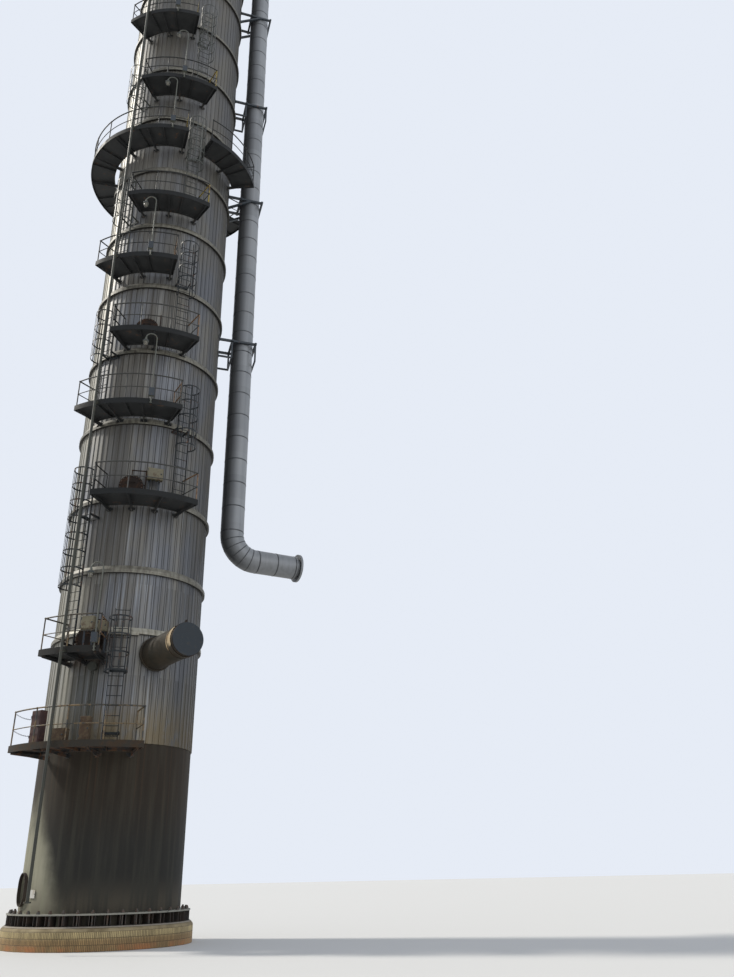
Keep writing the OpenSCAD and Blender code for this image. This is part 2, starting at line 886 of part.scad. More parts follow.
// Bracket with its curved pad, for a column surface at radius wall; its top
// lies under the deck's edge channels
module bracket(wall) {
    foot = wall + 8;
    web_t = 10;
    pad_a = 0.55*360/rib_count;
    pad_h = 46;
    translate([0, 0, -edge_h - seam]) {
        sector(-pad_a, pad_a)
            translate([wall, -plate_t - pad_h])
                square([8, pad_h]);
        translate([-seat_w/2, -foot - 6, -bracket_h])
            cube([seat_w, 8, bracket_h - plate_t + 1]);
        translate([-web_t/2, 0, 0])
            rotate([90, 0, 90])
                linear_extrude(web_t)
                    polygon([[-foot, -4], [-foot, 10 - bracket_h], [-foot - 30, 10 - bracket_h],
                        [-foot - bracket_reach, -44], [14 - deck_out, -30], [14 - deck_out, -4]]);
        translate([-seat_w/3, 10 - deck_out, -plate_t])
            cube([seat_w*2/3, deck_out - foot - 10, plate_t]);
    }
}

// One framed section of a deck: plate on top, edge channels and radial ribs
// below, left by one pocket a bay
module deck_section(a0, a1, pockets) {
    rib_a = plate_t/deck_in*180/PI;
    width = (a1 - a0 - rib_a)/pockets;
    difference() {
        sector(a0, a1)
            translate([deck_in, -edge_h])
                square([deck_out - deck_in, edge_h]);
        for (k = [0:pockets - 1])
            sector(a0 + rib_a + k*width, a0 + (k + 1)*width)
                translate([deck_in + plate_t, -edge_h - 1])
                    square([deck_out - deck_in - 2*plate_t, edge_h + 1 - plate_t]);
    }
}

module deck(a0, a1, wall) {
    sections = ceil((a1 - a0)/section_max);
    width = (a1 - a0)/sections;
    bays = rail_bays(a0, a1);
    bay = (a1 - a0)/bays;
    splice = 0.01;
    for (k = [0:sections - 1])
        deck_section(a0 + k*width + splice, a0 + (k + 1)*width - splice,
            ceil(bays/sections));
    for (k = [0:bays - 1])
        sector(a0 + k*bay + splice, a0 + (k + 1)*bay - splice)
            translate([deck_out - plate_t, seam])
                square([plate_t, toe_h]);
    for (a = span_brackets(a0, a1))
        at(a, 0, 0)
            bracket(wall);
}

module platform(i) {
    color("dimgray")
        translate([0, 0, deck_z[i]]) {
            deck(deck_span[i][0], deck_span[i][1], i == 0 ? skirt_r + gap : seat_r);
            if (i == ring_deck_index)
                deck(ring_deck_part[0], ring_deck_part[1], seat_r);
        }
}

// Post in two lengths, with a ball where each rail meets it
module rail_post() {
    cylinder(r = post_r, h = mid_h - mid_rail_r - 1, $fn = 24);
    translate([0, 0, mid_h])
        sphere(r = post_r + 3, $fn = 24);
    translate([0, 0, mid_h + mid_rail_r + 1])
        cylinder(r = post_r, h = rail_h - mid_h - mid_rail_r - rail_r - 2, $fn = 24);
    translate([0, 0, rail_h])
        sphere(r = rail_r + 4, $fn = 24);
}

// Top and middle rail between two posts, ending just short of their balls
module rail_bay(a0, a1) {
    top_end = (rail_r + 4 + gap)/rail_at*180/PI;
    mid_end = (post_r + 3 + gap)/rail_at*180/PI;
    sector(a0 + top_end, a1 - top_end)
        translate([rail_at, rail_h])
            circle(r = rail_r, $fn = 24);
    sector(a0 + mid_end, a1 - mid_end)
        translate([rail_at, mid_h])
            circle(r = mid_rail_r, $fn = 24);
}

// Rails across an end of a deck, from the corner post towards the column
module rail_return(a) {
    at(a, 0, 0) {
        translate([0, -inner_post, 0])
            rail_post();
        translate([0, 0, rail_h])
            radial_bar(rail_r, inner_post, rail_at - rail_r - 4 - gap);
        translate([0, 0, mid_h])
            radial_bar(mid_rail_r, inner_post, rail_at - post_r - 3 - gap);
    }
}

module railing(a0, a1, closed_left, closed_right) {
    inset = 0.9;
    bays = rail_bays(a0, a1);
    step = (a1 - a0 - 2*inset)/bays;
    for (k = [0:bays])
        at(a0 + inset + k*step, rail_at, 0)
            rail_post();
    for (k = [0:bays - 1])
        rail_bay(a0 + inset + k*step, a0 + inset + (k + 1)*step);
    if (closed_left)
        rail_return(a0 + inset);
    if (closed_right)
        rail_return(a1 - inset);
}

module railings(first, last) {
    color("goldenrod")
        for (i = [first:last])
            translate([0, 0, deck_z[i]]) {
                if (i == ring_deck_index) {
                    railing(deck_span[i][0], deck_span[i][1], true, false);
                    railing(ring_deck_part[0], ring_deck_part[1], false, true);
                } else {
                    railing(deck_span[i][0], deck_span[i][1], opens_right(i), !opens_right(i));
                }
            }
}

// Heights of the clips that hold ladder i to the column
function standoff_heights(i) = [deck_z[i] + standoff_rise, deck_z[i + 1] - standoff_rise];

module ladder(i) {
    z0 = deck_z[i];
    z1 = deck_z[i + 1] + rail_h + stile_over;
    rungs = floor((z1 - z0 - 20)/rung_pitch);
    at(ladder_phi[i], 0, 0) {
        for (side = [-1, 1])
            translate([side*stile_x - stile_t/2, -rung_at - stile_w/2, z0])
                cube([stile_t, stile_w, z1 - z0]);
        for (k = [1:rungs])
            translate([-stile_x, -rung_at, z0 + k*rung_pitch])
                rotate([0, 90, 0])
                    cylinder(r = rung_r, h = 2*stile_x, $fn = 16);
    }
    for (z = standoff_heights(i))
        at(ladder_phi[i], 0, z - standoff_h/2)
            ladder_clip();
}

// Two arms from the back of the stiles to one curved pad on the ribs
module ladder_clip() {
    for (side = [-1, 1])
        translate([side*stile_x - standoff_t/2, stile_w/2 + seam - rung_at, 0])
            cube([standoff_t, rung_at - stile_w/2 - seam - clip_root, standoff_h]);
    sector(-clip_a, clip_a)
        translate([seat_r, 0])
            square([clip_t, standoff_h]);
}

// One quarter of a cage: hoops cut to an arc, joined by two upright straps
module cage_part(z0, z1, b0, b1) {
    n = max(1, round((z1 - z0 - hoop_h)/hoop_pitch));
    for (k = [0:n])
        translate([0, 0, z0 + k*(z1 - z0 - hoop_h)/n])
            rotate([0, 0, b0 - 90])
                rotate_extrude(angle = b1 - b0)
                    translate([hoop_r - hoop_t, 0])
                        square([hoop_t, hoop_h]);
    for (b = [b0 + (b1 - b0)/4, b1 - (b1 - b0)/4])
        rotate([0, 0, b])
            translate([-strap_w/2, -hoop_r + 1, z0])
                cube([strap_w, strap_t, z1 - z0]);
}

module cage(i) {
    z0 = deck_z[i] + hoop_start;
    z1 = deck_z[i + 1] + rail_h;
    reach = 180 - asin(hoop_end_x/hoop_in);
    splice = 0.1;
    at(ladder_phi[i], rung_at + hoop_c, 0)
        for (q = [-2:1])
            cage_part(z0, z1, q*reach/2 + splice, (q + 1)*reach/2 - splice);
}

module ladders(first, last) {
    color("slategray")
        for (i = [first:last]) {
            ladder(i);
            cage(i);
        }
}

pedestal();
base_ring();
anchor_bolts();
skirt();
bottom_head();
shell();
top_head();
head_jacket();
cladding(skirt_z1 + 4, ring_z(2));  // cladding_lower
cladding(ring_z(2), ring_z(8));  // cladding_middle
cladding(ring_z(8), top_z);  // cladding_upper
ring_bands();
stub_nozzle();
stub_blank();
manway_necks();
manway_covers();
drop_lines();
bottom_outlet();
vapour_gooseneck();
vapour_riser();
vapour_elbow();
vapour_outlet();
line_supports();
utility_riser();
top_davit();
platform(0);  // platform_00
platform(1);  // platform_01
platform(2);  // platform_02
platform(3);  // platform_03
platform(4);  // platform_04
platform(5);  // platform_05
platform(6);  // platform_06
platform(7);  // platform_07
platform(8);  // platform_08
platform(9);  // platform_09
platform(10);  // platform_10
platform(11);  // platform_11
platform(12);  // platform_12
platform(13);  // platform_13
platform(14);  // platform_14
railings(0, 4);  // railings_lower
railings(5, 9);  // railings_middle
railings(10, 14);  // railings_upper
ladders(0, 4);  // ladders_lower
ladders(5, 9);  // ladders_middle
ladders(10, 13);  // ladders_upper
lamp_posts();
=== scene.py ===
"""Looks of the distillation column: materials, small parts, light and camera."""
import json
import math

import bmesh
import bpy
from mathutils import Matrix, Vector


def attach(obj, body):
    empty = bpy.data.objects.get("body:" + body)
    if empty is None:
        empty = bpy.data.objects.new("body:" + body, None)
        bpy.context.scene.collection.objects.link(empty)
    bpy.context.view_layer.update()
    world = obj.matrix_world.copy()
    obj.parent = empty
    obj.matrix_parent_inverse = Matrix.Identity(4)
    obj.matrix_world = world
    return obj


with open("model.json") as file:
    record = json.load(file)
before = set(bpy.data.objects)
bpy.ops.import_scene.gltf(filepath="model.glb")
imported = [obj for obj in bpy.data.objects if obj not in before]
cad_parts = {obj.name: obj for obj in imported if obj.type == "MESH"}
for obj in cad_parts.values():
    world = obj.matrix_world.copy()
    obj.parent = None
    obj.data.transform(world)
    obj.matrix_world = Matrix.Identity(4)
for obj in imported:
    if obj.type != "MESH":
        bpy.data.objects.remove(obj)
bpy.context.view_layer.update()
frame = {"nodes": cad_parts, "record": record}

# Measures shared with the CAD source, in metres and degrees. Angles run round the column
# from the front (-Y) towards +X.
RIB_COUNT = 70
RING_R = 1.2513
RING_Z0, RING_PITCH, RING_COUNT = 6.82, 1.5, 15
LOW_RINGS = (4.485, 5.530)
SHELL_R, INSULATION, TOP_Z = 1.165, 0.034, 28.82
# Dished head: crown and knuckle as parts of the shell's radius, and its height
CROWN_K, KNUCKLE_K, HEAD_H = 1.8, 0.346, 0.584
SKIRT_R, CHAIR_W = 1.1933, 0.155
PEDESTAL_H, RING_PLATE_Z = 0.29, 0.442
DECK_IN, DECK_OUT = 1.29, 1.795
RAIL_AT, RAIL_H = 1.773, 0.55
MANWAY_RISE, MANWAY_FACE = 0.26, 1.4093
LINE_R, LINE_X, LINE_PHI = 0.22, 1.70, 92.0
RUN_Z, RUN_TURN, ELBOW_R = 6.35, 13.0, 0.48
NECK_UP, BEND_UP = 0.060, 0.120
BEND_Z = TOP_Z + HEAD_H + INSULATION + NECK_UP + BEND_UP
STUB_PHI, STUB_Z, STUB_R = 21.0, 4.175, 0.25
LAMP_AT, LAMP_H, LAMP_REACH, LAMP_DEEP = 1.8123, 1.28, 0.19, 0.112


def ring(k):
    """Height of an evenly spaced cladding ring, or of a point between two."""
    return RING_Z0 + k * RING_PITCH


RINGS = list(LOW_RINGS) + [ring(k) for k in range(RING_COUNT)]
DECK_Z = [2.7, 4.095, ring(-0.063), ring(1.087), ring(2.103), ring(3.22), ring(4.253),
          ring(5.437), ring(6.43), ring(7.787), ring(9.133), ring(10.48), ring(11.827),
          ring(13.173), TOP_Z - 0.02]
# First and last angle of each deck
DECK_SPAN = [(-62, 12), (-47.5, -13.3), (-28.5, 30.5), (-47.5, 16.5), (-29.5, 23.5),
             (-47.5, 6), (-29.5, 23.5), (112, 365.5), (-30.5, 22), (-47.5, 5), (-29.5, 23.5),
             (-47.5, 6), (-29.5, 23.5), (-47.5, 6), (-29.5, 23.5)]
# The deck that goes round the column, and the first one whose gates are yellow
RING_DECK, FIRST_YELLOW = 7, 6
# Angle of the ladder from each deck to the next
LADDER_PHI = [-5.3, -40, 24, -40, 15, -37.5, 13, -40, 14, -39, 14.5, -38, 14.5, -38]
# Deck and angle of each manway, and of each lamp post
MANWAYS = [(1, -26.2), (2, -9.0), (4, -10.0), (9, -22.0), (12, -8.0)]
LAMPS = [(1, -15.8), (3, -1.2), (5, -10.2), (7, -5.3), (8, -1.3), (9, -10.2), (11, -5.3),
         (13, -1.3)]

# Measures of the scene's own parts
TILE_COUNT, TILE_ROWS, TILE_PITCH = 360, 3, 0.081
TILE_BACK_R, TILE_FACE_R = 1.398, 1.4018
# Deck, angle, radius, height above the deck, and width, height and depth
CABINETS = [(1, -21.5, 1.70, 0.42, (0.21, 0.21, 0.08)),
            (1, -15.9, 1.50, 0.42, (0.15, 0.17, 0.08)),
            (2, 6.8, 1.36, 0.53, (0.27, 0.22, 0.09)),
            (0, -45.0, 1.66, 0.29, (0.20, 0.48, 0.12)),
            (0, -30.5, 1.66, 0.14, (0.24, 0.20, 0.12)),
            (0, -17.0, 1.66, 0.22, (0.15, 0.36, 0.10))]
TALL_CABINET = 0.4
# The stub's cream band, painted sunlight, along its axis: start, fade in, fade out, end
STUB_BAND = (2.15, 2.17, 2.338, 2.345)
# Distance along the stub's axis and lift of each weld bead
STUB_BEADS = ((2.3995, 0.003), (1.2775, 0.004), (2.21, 0.005), (2.34, 0.005))
# Length of a sheet on the vapour line, pans in a cladding sheet, and pitch of the tread bars
SHEET_LEN, PANS_IN_SHEET, TREAD = 0.5, 5.0, 0.022
FULL_TURN = 2 * math.pi


# Node graphs
class Graph:
    """A material's node tree, with a short call for each node used here."""

    def __init__(self, name):
        self.material = bpy.data.materials.new(name)
        self.material.use_nodes = True
        self.tree = self.material.node_tree
        self.bsdf = self.tree.nodes["Principled BSDF"]
        coords = self.tree.nodes.new("ShaderNodeTexCoord")
        self.pos = coords.outputs["Object"]
        self._cylinder = None
        self._normal = None

    def put(self, socket, value):
        if isinstance(value, bpy.types.NodeSocket):
            self.tree.links.new(value, socket)
        elif value is not None:
            socket.default_value = value

    def math(self, operation, a, b=None):
        node = self.tree.nodes.new("ShaderNodeMath")
        node.operation = operation
        for socket, value in zip(node.inputs, (a, b)):
            self.put(socket, value)
        return node.outputs[0]

    def chain(self, operation, values):
        result = values[0]
        for value in values[1:]:
            result = self.math(operation, result, value)
        return result

    def plus(self, *values):
        return self.chain("ADD", values)

    def minus(self, a, b):
        return self.math("SUBTRACT", a, b)

    def times(self, *values):
        return self.chain("MULTIPLY", values)

    def over(self, a, b):
        return self.math("DIVIDE", a, b)

    def larger(self, a, b):
        return self.math("MAXIMUM", a, b)

    def size(self, value):
        return self.math("ABSOLUTE", value)

    def floor(self, value):
        return self.math("FLOOR", value)

    def fract(self, value):
        return self.math("FRACT", value)

    def vector(self, x, y, z):
        node = self.tree.nodes.new("ShaderNodeCombineXYZ")
        for socket, value in zip(node.inputs, (x, y, z)):
            self.put(socket, value)
        return node.outputs[0]

    def split(self, vector):
        node = self.tree.nodes.new("ShaderNodeSeparateXYZ")
        self.put(node.inputs[0], vector)
        return node.outputs

    @property
    def cylinder(self):
        """Angle from the front in radians, and height."""
        if self._cylinder is None:
            x, y, z = self.split(self.pos)
            self._cylinder = (self.math("ARCTAN2", x, self.times(y, -1.0)), z)
        return self._cylinder

    @property
    def radius(self):
        """Distance from the column's axis."""
        x, y = self.split(self.pos)[:2]
        return self.math("SQRT", self.plus(self.times(x, x), self.times(y, y)))

    @property
    def facing(self):
        """Where the true surface faces, along x, y and z."""
        if self._normal is None:
            geometry = self.tree.nodes.new("ShaderNodeNewGeometry")
            self._normal = self.split(geometry.outputs["True Normal"])
        return self._normal

    @property
    def up(self):
        return self.facing[2]

    def noise(self, scale, detail, rough=0.55, vector=None):
        """Noise over the object, or over other coordinates."""
        node = self.tree.nodes.new("ShaderNodeTexNoise")
        self.put(node.inputs["Vector"], self.pos if vector is None else vector)
        node.inputs["Scale"].default_value = scale
        node.inputs["Detail"].default_value = detail
        node.inputs["Roughness"].default_value = rough
        return node.outputs["Fac"]

    def streaks(self, across, along, detail, rough=0.55):
        """Noise that runs round the column and down it, for stains that follow the rain."""
        phi, z = self.cylinder
        where = self.vector(self.times(phi, across), 0.0, self.times(z, along))
        return self.noise(1.0, detail, rough, where)

    def white(self, x, y, z):
        """A number of its own for each whole x, y and z."""
        node = self.tree.nodes.new("ShaderNodeTexWhiteNoise")
        self.put(node.inputs["Vector"], self.vector(x, y, z))
        return node.outputs["Value"]

    def step(self, value, low, high, start=0.0, end=1.0):
        """Smooth change from start to end as the value goes from low to high."""
        node = self.tree.nodes.new("ShaderNodeMapRange")
        node.interpolation_type = "SMOOTHSTEP"
        for name, v in (("Value", value), ("From Min", low), ("From Max", high),
                        ("To Min", start), ("To Max", end)):
            self.put(node.inputs[name], v)
        return node.outputs[0]

    def vary(self, noise, start=0.0, end=1.0):
        """Spread most of a noise's values between start and end."""
        return self.step(noise, 0.3, 0.7, start, end)

    def near(self, value, at, full, none):
        """1 within one distance of a place, and 0 beyond another."""
        return self.step(self.size(self.minus(value, at)), none, full)

    def between(self, value, rise, top, top_end, fall):
        """0 outside rise and fall, and 1 between top and top_end."""
        return self.times(self.step(value, rise, top), self.step(value, fall, top_end))

    def mix(self, factor, a, b, blend="MIX"):
        node = self.tree.nodes.new("ShaderNodeMix")
        node.data_type = "RGBA"
        node.blend_type = blend
        self.put(node.inputs["Factor"], factor)
        for name, value in (("A", a), ("B", b)):
            socket = [s for s in node.inputs if s.name == name and s.type == "RGBA"][0]
            self.put(socket, value if isinstance(value, bpy.types.NodeSocket) else (*value, 1.0))
        return [s for s in node.outputs if s.type == "RGBA"][0]

    def stain(self, color, strength, mask, tint):
        """Colour with a tint laid over it where the mask is."""
        return self.mix(self.times(mask, strength), color, tint)

    def shade(self, color, factor):
        """Colour times a grey factor."""
        return self.mix(1.0, color, self.vector(factor, factor, factor), "MULTIPLY")

    def bump(self, height, strength, distance):
        node = self.tree.nodes.new("ShaderNodeBump")
        node.inputs["Strength"].default_value = strength
        node.inputs["Distance"].default_value = distance
        self.put(node.inputs["Height"], height)
        self.put(self.bsdf.inputs["Normal"], node.outputs[0])

    def gloss(self, level):
        self.bsdf.inputs["Specular IOR Level"].default_value = level

    def finish(self, color, rough, metallic=0.0):
        self.put(self.bsdf.inputs["Base Color"], color)
        self.put(self.bsdf.inputs["Roughness"], rough)
        self.bsdf.inputs["Metallic"].default_value = metallic
        return self.material


def rib_dirt_and_shade(g, turn):
    """Dirt along both feet of each standing rib, with painted shade on the flank away from the
    light.
    """
    from_rib = g.minus(g.fract(g.plus(turn, 0.5)), 0.5)
    right = g.between(from_rib, 0.08, 0.15, 0.20, 0.34)
    left = g.between(from_rib, -0.20, -0.14, -0.12, -0.08)
    return g.larger(right, g.times(left, 0.6))


def cladding_material():
    """Ribbed sheet: seams with dirt and painted shade, drips below the rings, stains by height and
    side, and painted light, shade and sky reflection by side.
    """
    g = Graph("clad_sheet")
    phi, z = g.cylinder
    turn = g.times(phi, RIB_COUNT / FULL_TURN)
    pan = g.floor(turn)
    courses = g.over(g.minus(z, RING_Z0), RING_PITCH)
    course = g.floor(courses)
    streak = g.streaks(14.0, 0.3, 5.0, 0.6)
    fine = g.streaks(70.0, 1.0, 3.0)
    cloud = g.streaks(2.2, 0.8, 4.0)
    # Each pan between two ribs has its own tone, and so has each sheet
    each_pan = g.step(g.white(pan, course, 0.0), 0.0, 1.0, -0.13, 0.13)
    each_sheet = g.step(g.white(g.floor(g.over(pan, PANS_IN_SHEET)), course, 7.0),
                        0.0, 1.0, -0.07, 0.07)
    tone = g.plus(g.step(streak, 0.25, 0.75, 0.66, 1.18), each_pan, each_sheet,
                  g.vary(fine, -0.07, 0.07))
    # Patches of cool tone: partly the sheets' own tone, partly painted sky reflection on the metal
    cool_tone_and_sheen, warm = (0.175, 0.185, 0.205), (0.20, 0.19, 0.165)
    color = g.shade(g.mix(g.step(cloud, 0.35, 0.65), cool_tone_and_sheen, warm), tone)
    # Dirt and painted shade along the ribs' feet, weaker higher up, and drips from the rings
    cleaner_z = (9.5, 13.5)
    seam_dirt_and_shade = g.times(rib_dirt_and_shade(g, turn), g.step(z, *cleaner_z, 1.0, 0.6),
                   g.step(g.streaks(40.0, 3.0, 4.0), 0.25, 0.6, 0.5, 0.92))
    color = g.mix(seam_dirt_and_shade, color, (0.018, 0.017, 0.015))
    below_ring = g.times(g.minus(1.0, g.fract(courses)), RING_PITCH)
    drip = g.times(g.step(below_ring, 0.8, 0.02), g.step(g.streaks(34.0, 0.25, 3.0), 0.45, 0.66))
    color = g.stain(color, 0.6, drip, (0.06, 0.052, 0.04))
    # Brown grime where decks and ladders shed their water, and above the skirt
    grime = g.times(g.near(phi, -0.42, 0.15, 0.75), g.step(g.streaks(8.0, 0.4, 5.0), 0.40, 0.68),
                    g.step(z, *cleaner_z, 0.62, 0.45))
    color = g.mix(grime, color, (0.075, 0.064, 0.048))
    low = g.times(g.step(z, 3.55, 2.95), g.step(g.streaks(7.0, 2.5, 5.0), 0.28, 0.52))
    color = g.stain(color, 0.85, low, g.mix(fine, (0.115, 0.085, 0.045), (0.22, 0.17, 0.085)))
    # Painted sky reflection in pale bluish streaks below the lowest rings, and painted sunlight on
    # the left flank
    pale_streak_sheen = g.times(g.step(z, 7.6, 6.4), g.step(g.streaks(26.0, 0.5, 5.0), 0.54, 0.68))
    color = g.stain(color, 0.35, pale_streak_sheen, (0.40, 0.44, 0.50))
    flank = g.plus(g.step(z, 6.8, 5.6, -0.95, -0.66), g.vary(cloud, -0.08, 0.08))
    sunlit_and_washed = g.times(g.step(phi, flank, g.minus(flank, 0.18)), g.step(phi, -2.7, -2.1))
    color = g.stain(color, 0.55, sunlit_and_washed, (0.36, 0.34, 0.27))
    # Moss and soil at the second deck
    mossy = g.times(g.near(phi, -0.53, 0.14, 0.30), g.step(z, 4.4, 4.0), g.step(streak, 0.2, 0.5))
    color = g.stain(color, 0.62, mossy, (0.055, 0.055, 0.040))
    soil = g.times(g.near(phi, -0.48, 0.2, 0.38), g.near(z, 4.22, 0.12, 0.42),
                   g.step(g.noise(9.0, 5.0), 0.3, 0.55))
    color = g.stain(color, 0.85, soil, (0.045, 0.030, 0.021))
    # Warmer sheets at the top, and a broad painted shadow on the front left below the fifth deck
    color = g.mix(g.step(z, 12.0, 15.5, 0.0, 0.28), color, (0.205, 0.188, 0.155))
    edge = g.plus(g.size(g.plus(phi, 0.48)), g.vary(streak, -0.07, 0.07))
    painted_shadow_band = g.times(g.step(edge, 0.32, 0.17), g.between(z, 4.9, 5.9, 8.4, 10.4))
    color = g.stain(color, 0.55, painted_shadow_band, (0.068, 0.064, 0.056))
    # Painted shade on the right flank, away from the sun, strongest low down; all sheets darker
    # higher up
    painted_shade_right = g.times(g.between(phi, 0.2, 1.05, 2.1, 2.8), g.step(z, 9.5, 6.5, 0.40, 0.56))
    color = g.shade(color, g.minus(g.step(z, 10.5, 14.5, 1.0, 0.84), painted_shade_right))
    g.bump(g.plus(g.noise(9.0, 3.0), g.times(fine, 0.3)), 0.35, 0.006)
    return g.finish(color, g.vary(streak, 0.44, 0.62), 0.22)


def ring_material():
    """Pale rain skirts, brighter low down, darker on the left, with painted shade on the right
    flank and on the faces turned down.
    """
    g = Graph("ring_sheet")
    phi, z = g.cylinder
    dirt = g.step(g.streaks(22.0, 6.0, 5.0), 0.35, 0.7)
    # Brighter low down, darker on the left, and painted shade on the right flank
    tone = g.times(g.step(z, 5.4, 4.6, 1.0, 1.7), g.step(phi, 0.3, 1.1, 1.0, 0.7),
                   g.step(phi, -0.5, -0.1, 0.62, 1.0))
    color = g.shade(g.mix(dirt, (0.225, 0.215, 0.178), (0.105, 0.096, 0.074)), tone)
    # Painted shade on the faces turned down
    color = g.mix(g.step(g.up, -0.2, -0.8), color, (0.03, 0.028, 0.025))
    g.bump(g.noise(20.0, 3.0), 0.3, 0.003)
    return g.finish(color, 0.55, 0.3)


def painted(name, color, rust=(0.16, 0.07, 0.03), worn=0.62, below=None, scale=6.0, rough=0.5,
            gloss=0.5):
    """Weathered paint: blotches, and rust where it has worn, or only below a height."""
    g = Graph(name)
    blotch = g.noise(scale, 5.0)
    spots = g.noise(scale * 3.5, 6.0, 0.65)
    mask = g.step(g.plus(g.times(blotch, 0.55), g.times(spots, 0.45)), worn - 0.06, worn + 0.04)
    if below:
        mask = g.times(mask, g.step(g.split(g.pos)[2], below + 0.4, below - 0.4))
    g.bump(spots, 0.35, 0.002)
    g.gloss(gloss)
    return g.finish(g.mix(mask, g.shade(color, g.vary(blotch, 0.78, 1.18)), rust),
                    g.vary(blotch, rough - 0.08, rough + 0.12))


def tread_bars(g):
    """Raised bars of tread plate, at a right angle to their neighbours."""
    x, y = (g.over(value, TREAD) for value in g.split(g.pos)[:2])
    turned = g.step(g.fract(g.times(g.plus(g.floor(x), g.floor(y)), 0.5)), 0.2, 0.3)
    from_x, from_y = (g.size(g.minus(g.fract(value), 0.5)) for value in (x, y))
    bars = [g.times(g.step(thin, 0.14, 0.08), g.step(long, 0.44, 0.36))
            for thin, long in ((from_x, from_y), (from_y, from_x))]
    return g.plus(g.times(bars[0], turned), g.times(bars[1], g.minus(1.0, turned)))


def deck_material(name, rusty):
    """Dark deck paint: tread pattern on top, a painted light line under the inner edge, rust below.
    """
    g = Graph(name)
    blotch = g.noise(5.0, 5.0)
    spots = g.noise(18.0, 6.0, 0.65)
    color = g.shade(g.mix(blotch, (0.026, 0.028, 0.030), (0.038, 0.039, 0.039)),
                    g.vary(blotch, 0.8, 1.15))
    rust = g.step(g.plus(g.times(blotch, 0.5), g.times(spots, 0.5)),
                  0.57 - 0.12 * rusty, 0.66 - 0.06 * rusty)
    color = g.stain(color, 0.55 + 0.4 * rusty, rust, (0.12, 0.06, 0.03))
    top = g.step(g.up, 0.5, 0.9)
    color = g.stain(color, 0.8, top, g.mix(spots, (0.07, 0.062, 0.05), (0.13, 0.115, 0.09)))
    # Painted light: a pale line under the deck's inner edge, as if lit through the gap by the
    # cladding
    painted_lit_inner_edge = g.times(g.step(g.radius, DECK_IN + 0.012, DECK_IN + 0.006), g.step(g.up, -0.6, -0.95))
    color = g.stain(color, 0.6, painted_lit_inner_edge, (0.20, 0.19, 0.165))
    edge = g.step(g.radius, DECK_OUT - 0.02, DECK_OUT - 0.01)
    toe = g.times(edge, g.step(g.size(g.up), 0.5, 0.2))
    color = g.stain(color, 0.8, toe, g.mix(rusty, (0.006, 0.007, 0.007), (0.026, 0.020, 0.012)))
    g.bump(g.plus(g.times(tread_bars(g), top, 0.6), g.times(spots, 0.4)), 0.5, 0.002)
    g.gloss(0.25)
    return g.finish(color, g.vary(blotch, 0.55, 0.75))


def line_material():
    """Softly dulled aluminium jacket of the vapour line, with painted light on its side towards +X
    and painted shade on its side towards -X.
    """
    g = Graph("line_jacket")
    x, y, z = g.split(g.pos)
    panel = g.step(g.white(g.floor(g.over(z, SHEET_LEN)), 3.0, 0.0), 0.0, 1.0, 0.88, 1.06)
    where = g.vector(g.times(x, 18.0), g.times(y, 18.0), g.times(z, 0.5))
    streak = g.noise(1.0, 4.0, vector=where)
    color = g.shade(g.mix(g.noise(1.2, 3.0), (0.112, 0.120, 0.130), (0.142, 0.145, 0.147)),
                    g.plus(panel, g.vary(streak, -0.1, 0.1)))
    # Painted light and shade: brighter where the jacket faces +X, away from the column, darker
    # where it faces the column
    color = g.shade(color, g.step(g.facing[0], -0.8, 0.6, 0.66, 2.0))
    g.bump(g.noise(9.0, 3.0), 0.25, 0.004)
    return g.finish(color, g.vary(streak, 0.42, 0.58), 0.35)


def band_material():
    """Seam bands of the vapour line, darker than its jacket."""
    g = Graph("band_sheet")
    worn = g.noise(12.0, 4.0)
    g.bump(worn, 0.3, 0.002)
    return g.finish(g.mix(g.step(worn, 0.35, 0.65), (0.045, 0.048, 0.052), (0.08, 0.083, 0.086)),
                    0.5, 0.4)


def base_material():
    """Dark anchor chairs with a pale washed ring plate on top."""
    g = Graph("base_steel")
    blotch = g.noise(8.0, 5.0)
    color = g.mix(g.step(blotch, 0.35, 0.65), (0.018, 0.016, 0.014), (0.042, 0.028, 0.02))
    sunlit_and_washed = g.times(g.step(g.cylinder[1], RING_PLATE_Z, RING_PLATE_Z + 0.004),
                     g.step(blotch, 0.3, 0.5, 0.55, 1.0))
    color = g.mix(sunlit_and_washed, color, (0.24, 0.235, 0.20))
    g.bump(blotch, 0.35, 0.002)
    return g.finish(color, 0.65)


def concrete_material():
    """Rendered concrete of the pedestal, which shows in the tiles' joints and on top."""
    g = Graph("pedestal_render")
    color = g.mix(g.vary(g.noise(4.0, 6.0, 0.6)), (0.17, 0.13, 0.07), (0.33, 0.27, 0.16))
    tiled_z = TILE_ROWS * TILE_PITCH
    joint = g.times(g.step(g.cylinder[1], tiled_z + 0.004, tiled_z), g.step(g.size(g.up), 0.4, 0.2))
    color = g.mix(joint, color, (0.060, 0.045, 0.028))
    g.bump(g.noise(40.0, 4.0), 0.6, 0.003)
    return g.finish(color, 0.9)


def tile_material():
    """Cream facing tiles, stained orange at the foot."""
    g = Graph("facing_tile")
    phi, z = g.cylinder
    column = g.floor(g.times(phi, TILE_COUNT / FULL_TURN))
    each = g.white(column, g.floor(g.over(z, TILE_PITCH)), 0.0)
    tone = g.times(g.step(each, 0.0, 1.0, 0.82, 1.14), g.vary(g.noise(3.0, 6.0, 0.6), 0.82, 1.15))
    color = g.shade(g.mix(g.step(z, 0.12, 0.2), (0.27, 0.175, 0.072), (0.40, 0.315, 0.155)), tone)
    foot = g.times(g.step(z, 0.11, 0.03), g.step(g.streaks(3.5, 2.0, 4.0), 0.42, 0.62))
    color = g.mix(foot, color, (0.40, 0.17, 0.06))
    g.bump(g.noise(50.0, 3.0), 0.3, 0.001)
    return g.finish(color, 0.6)


def grout_material():
    g = Graph("grout")
    grain = g.noise(18.0, 5.0)
    g.bump(grain, 0.5, 0.004)
    return g.finish(g.mix(grain, (0.22, 0.19, 0.15), (0.36, 0.32, 0.26)), 0.9)


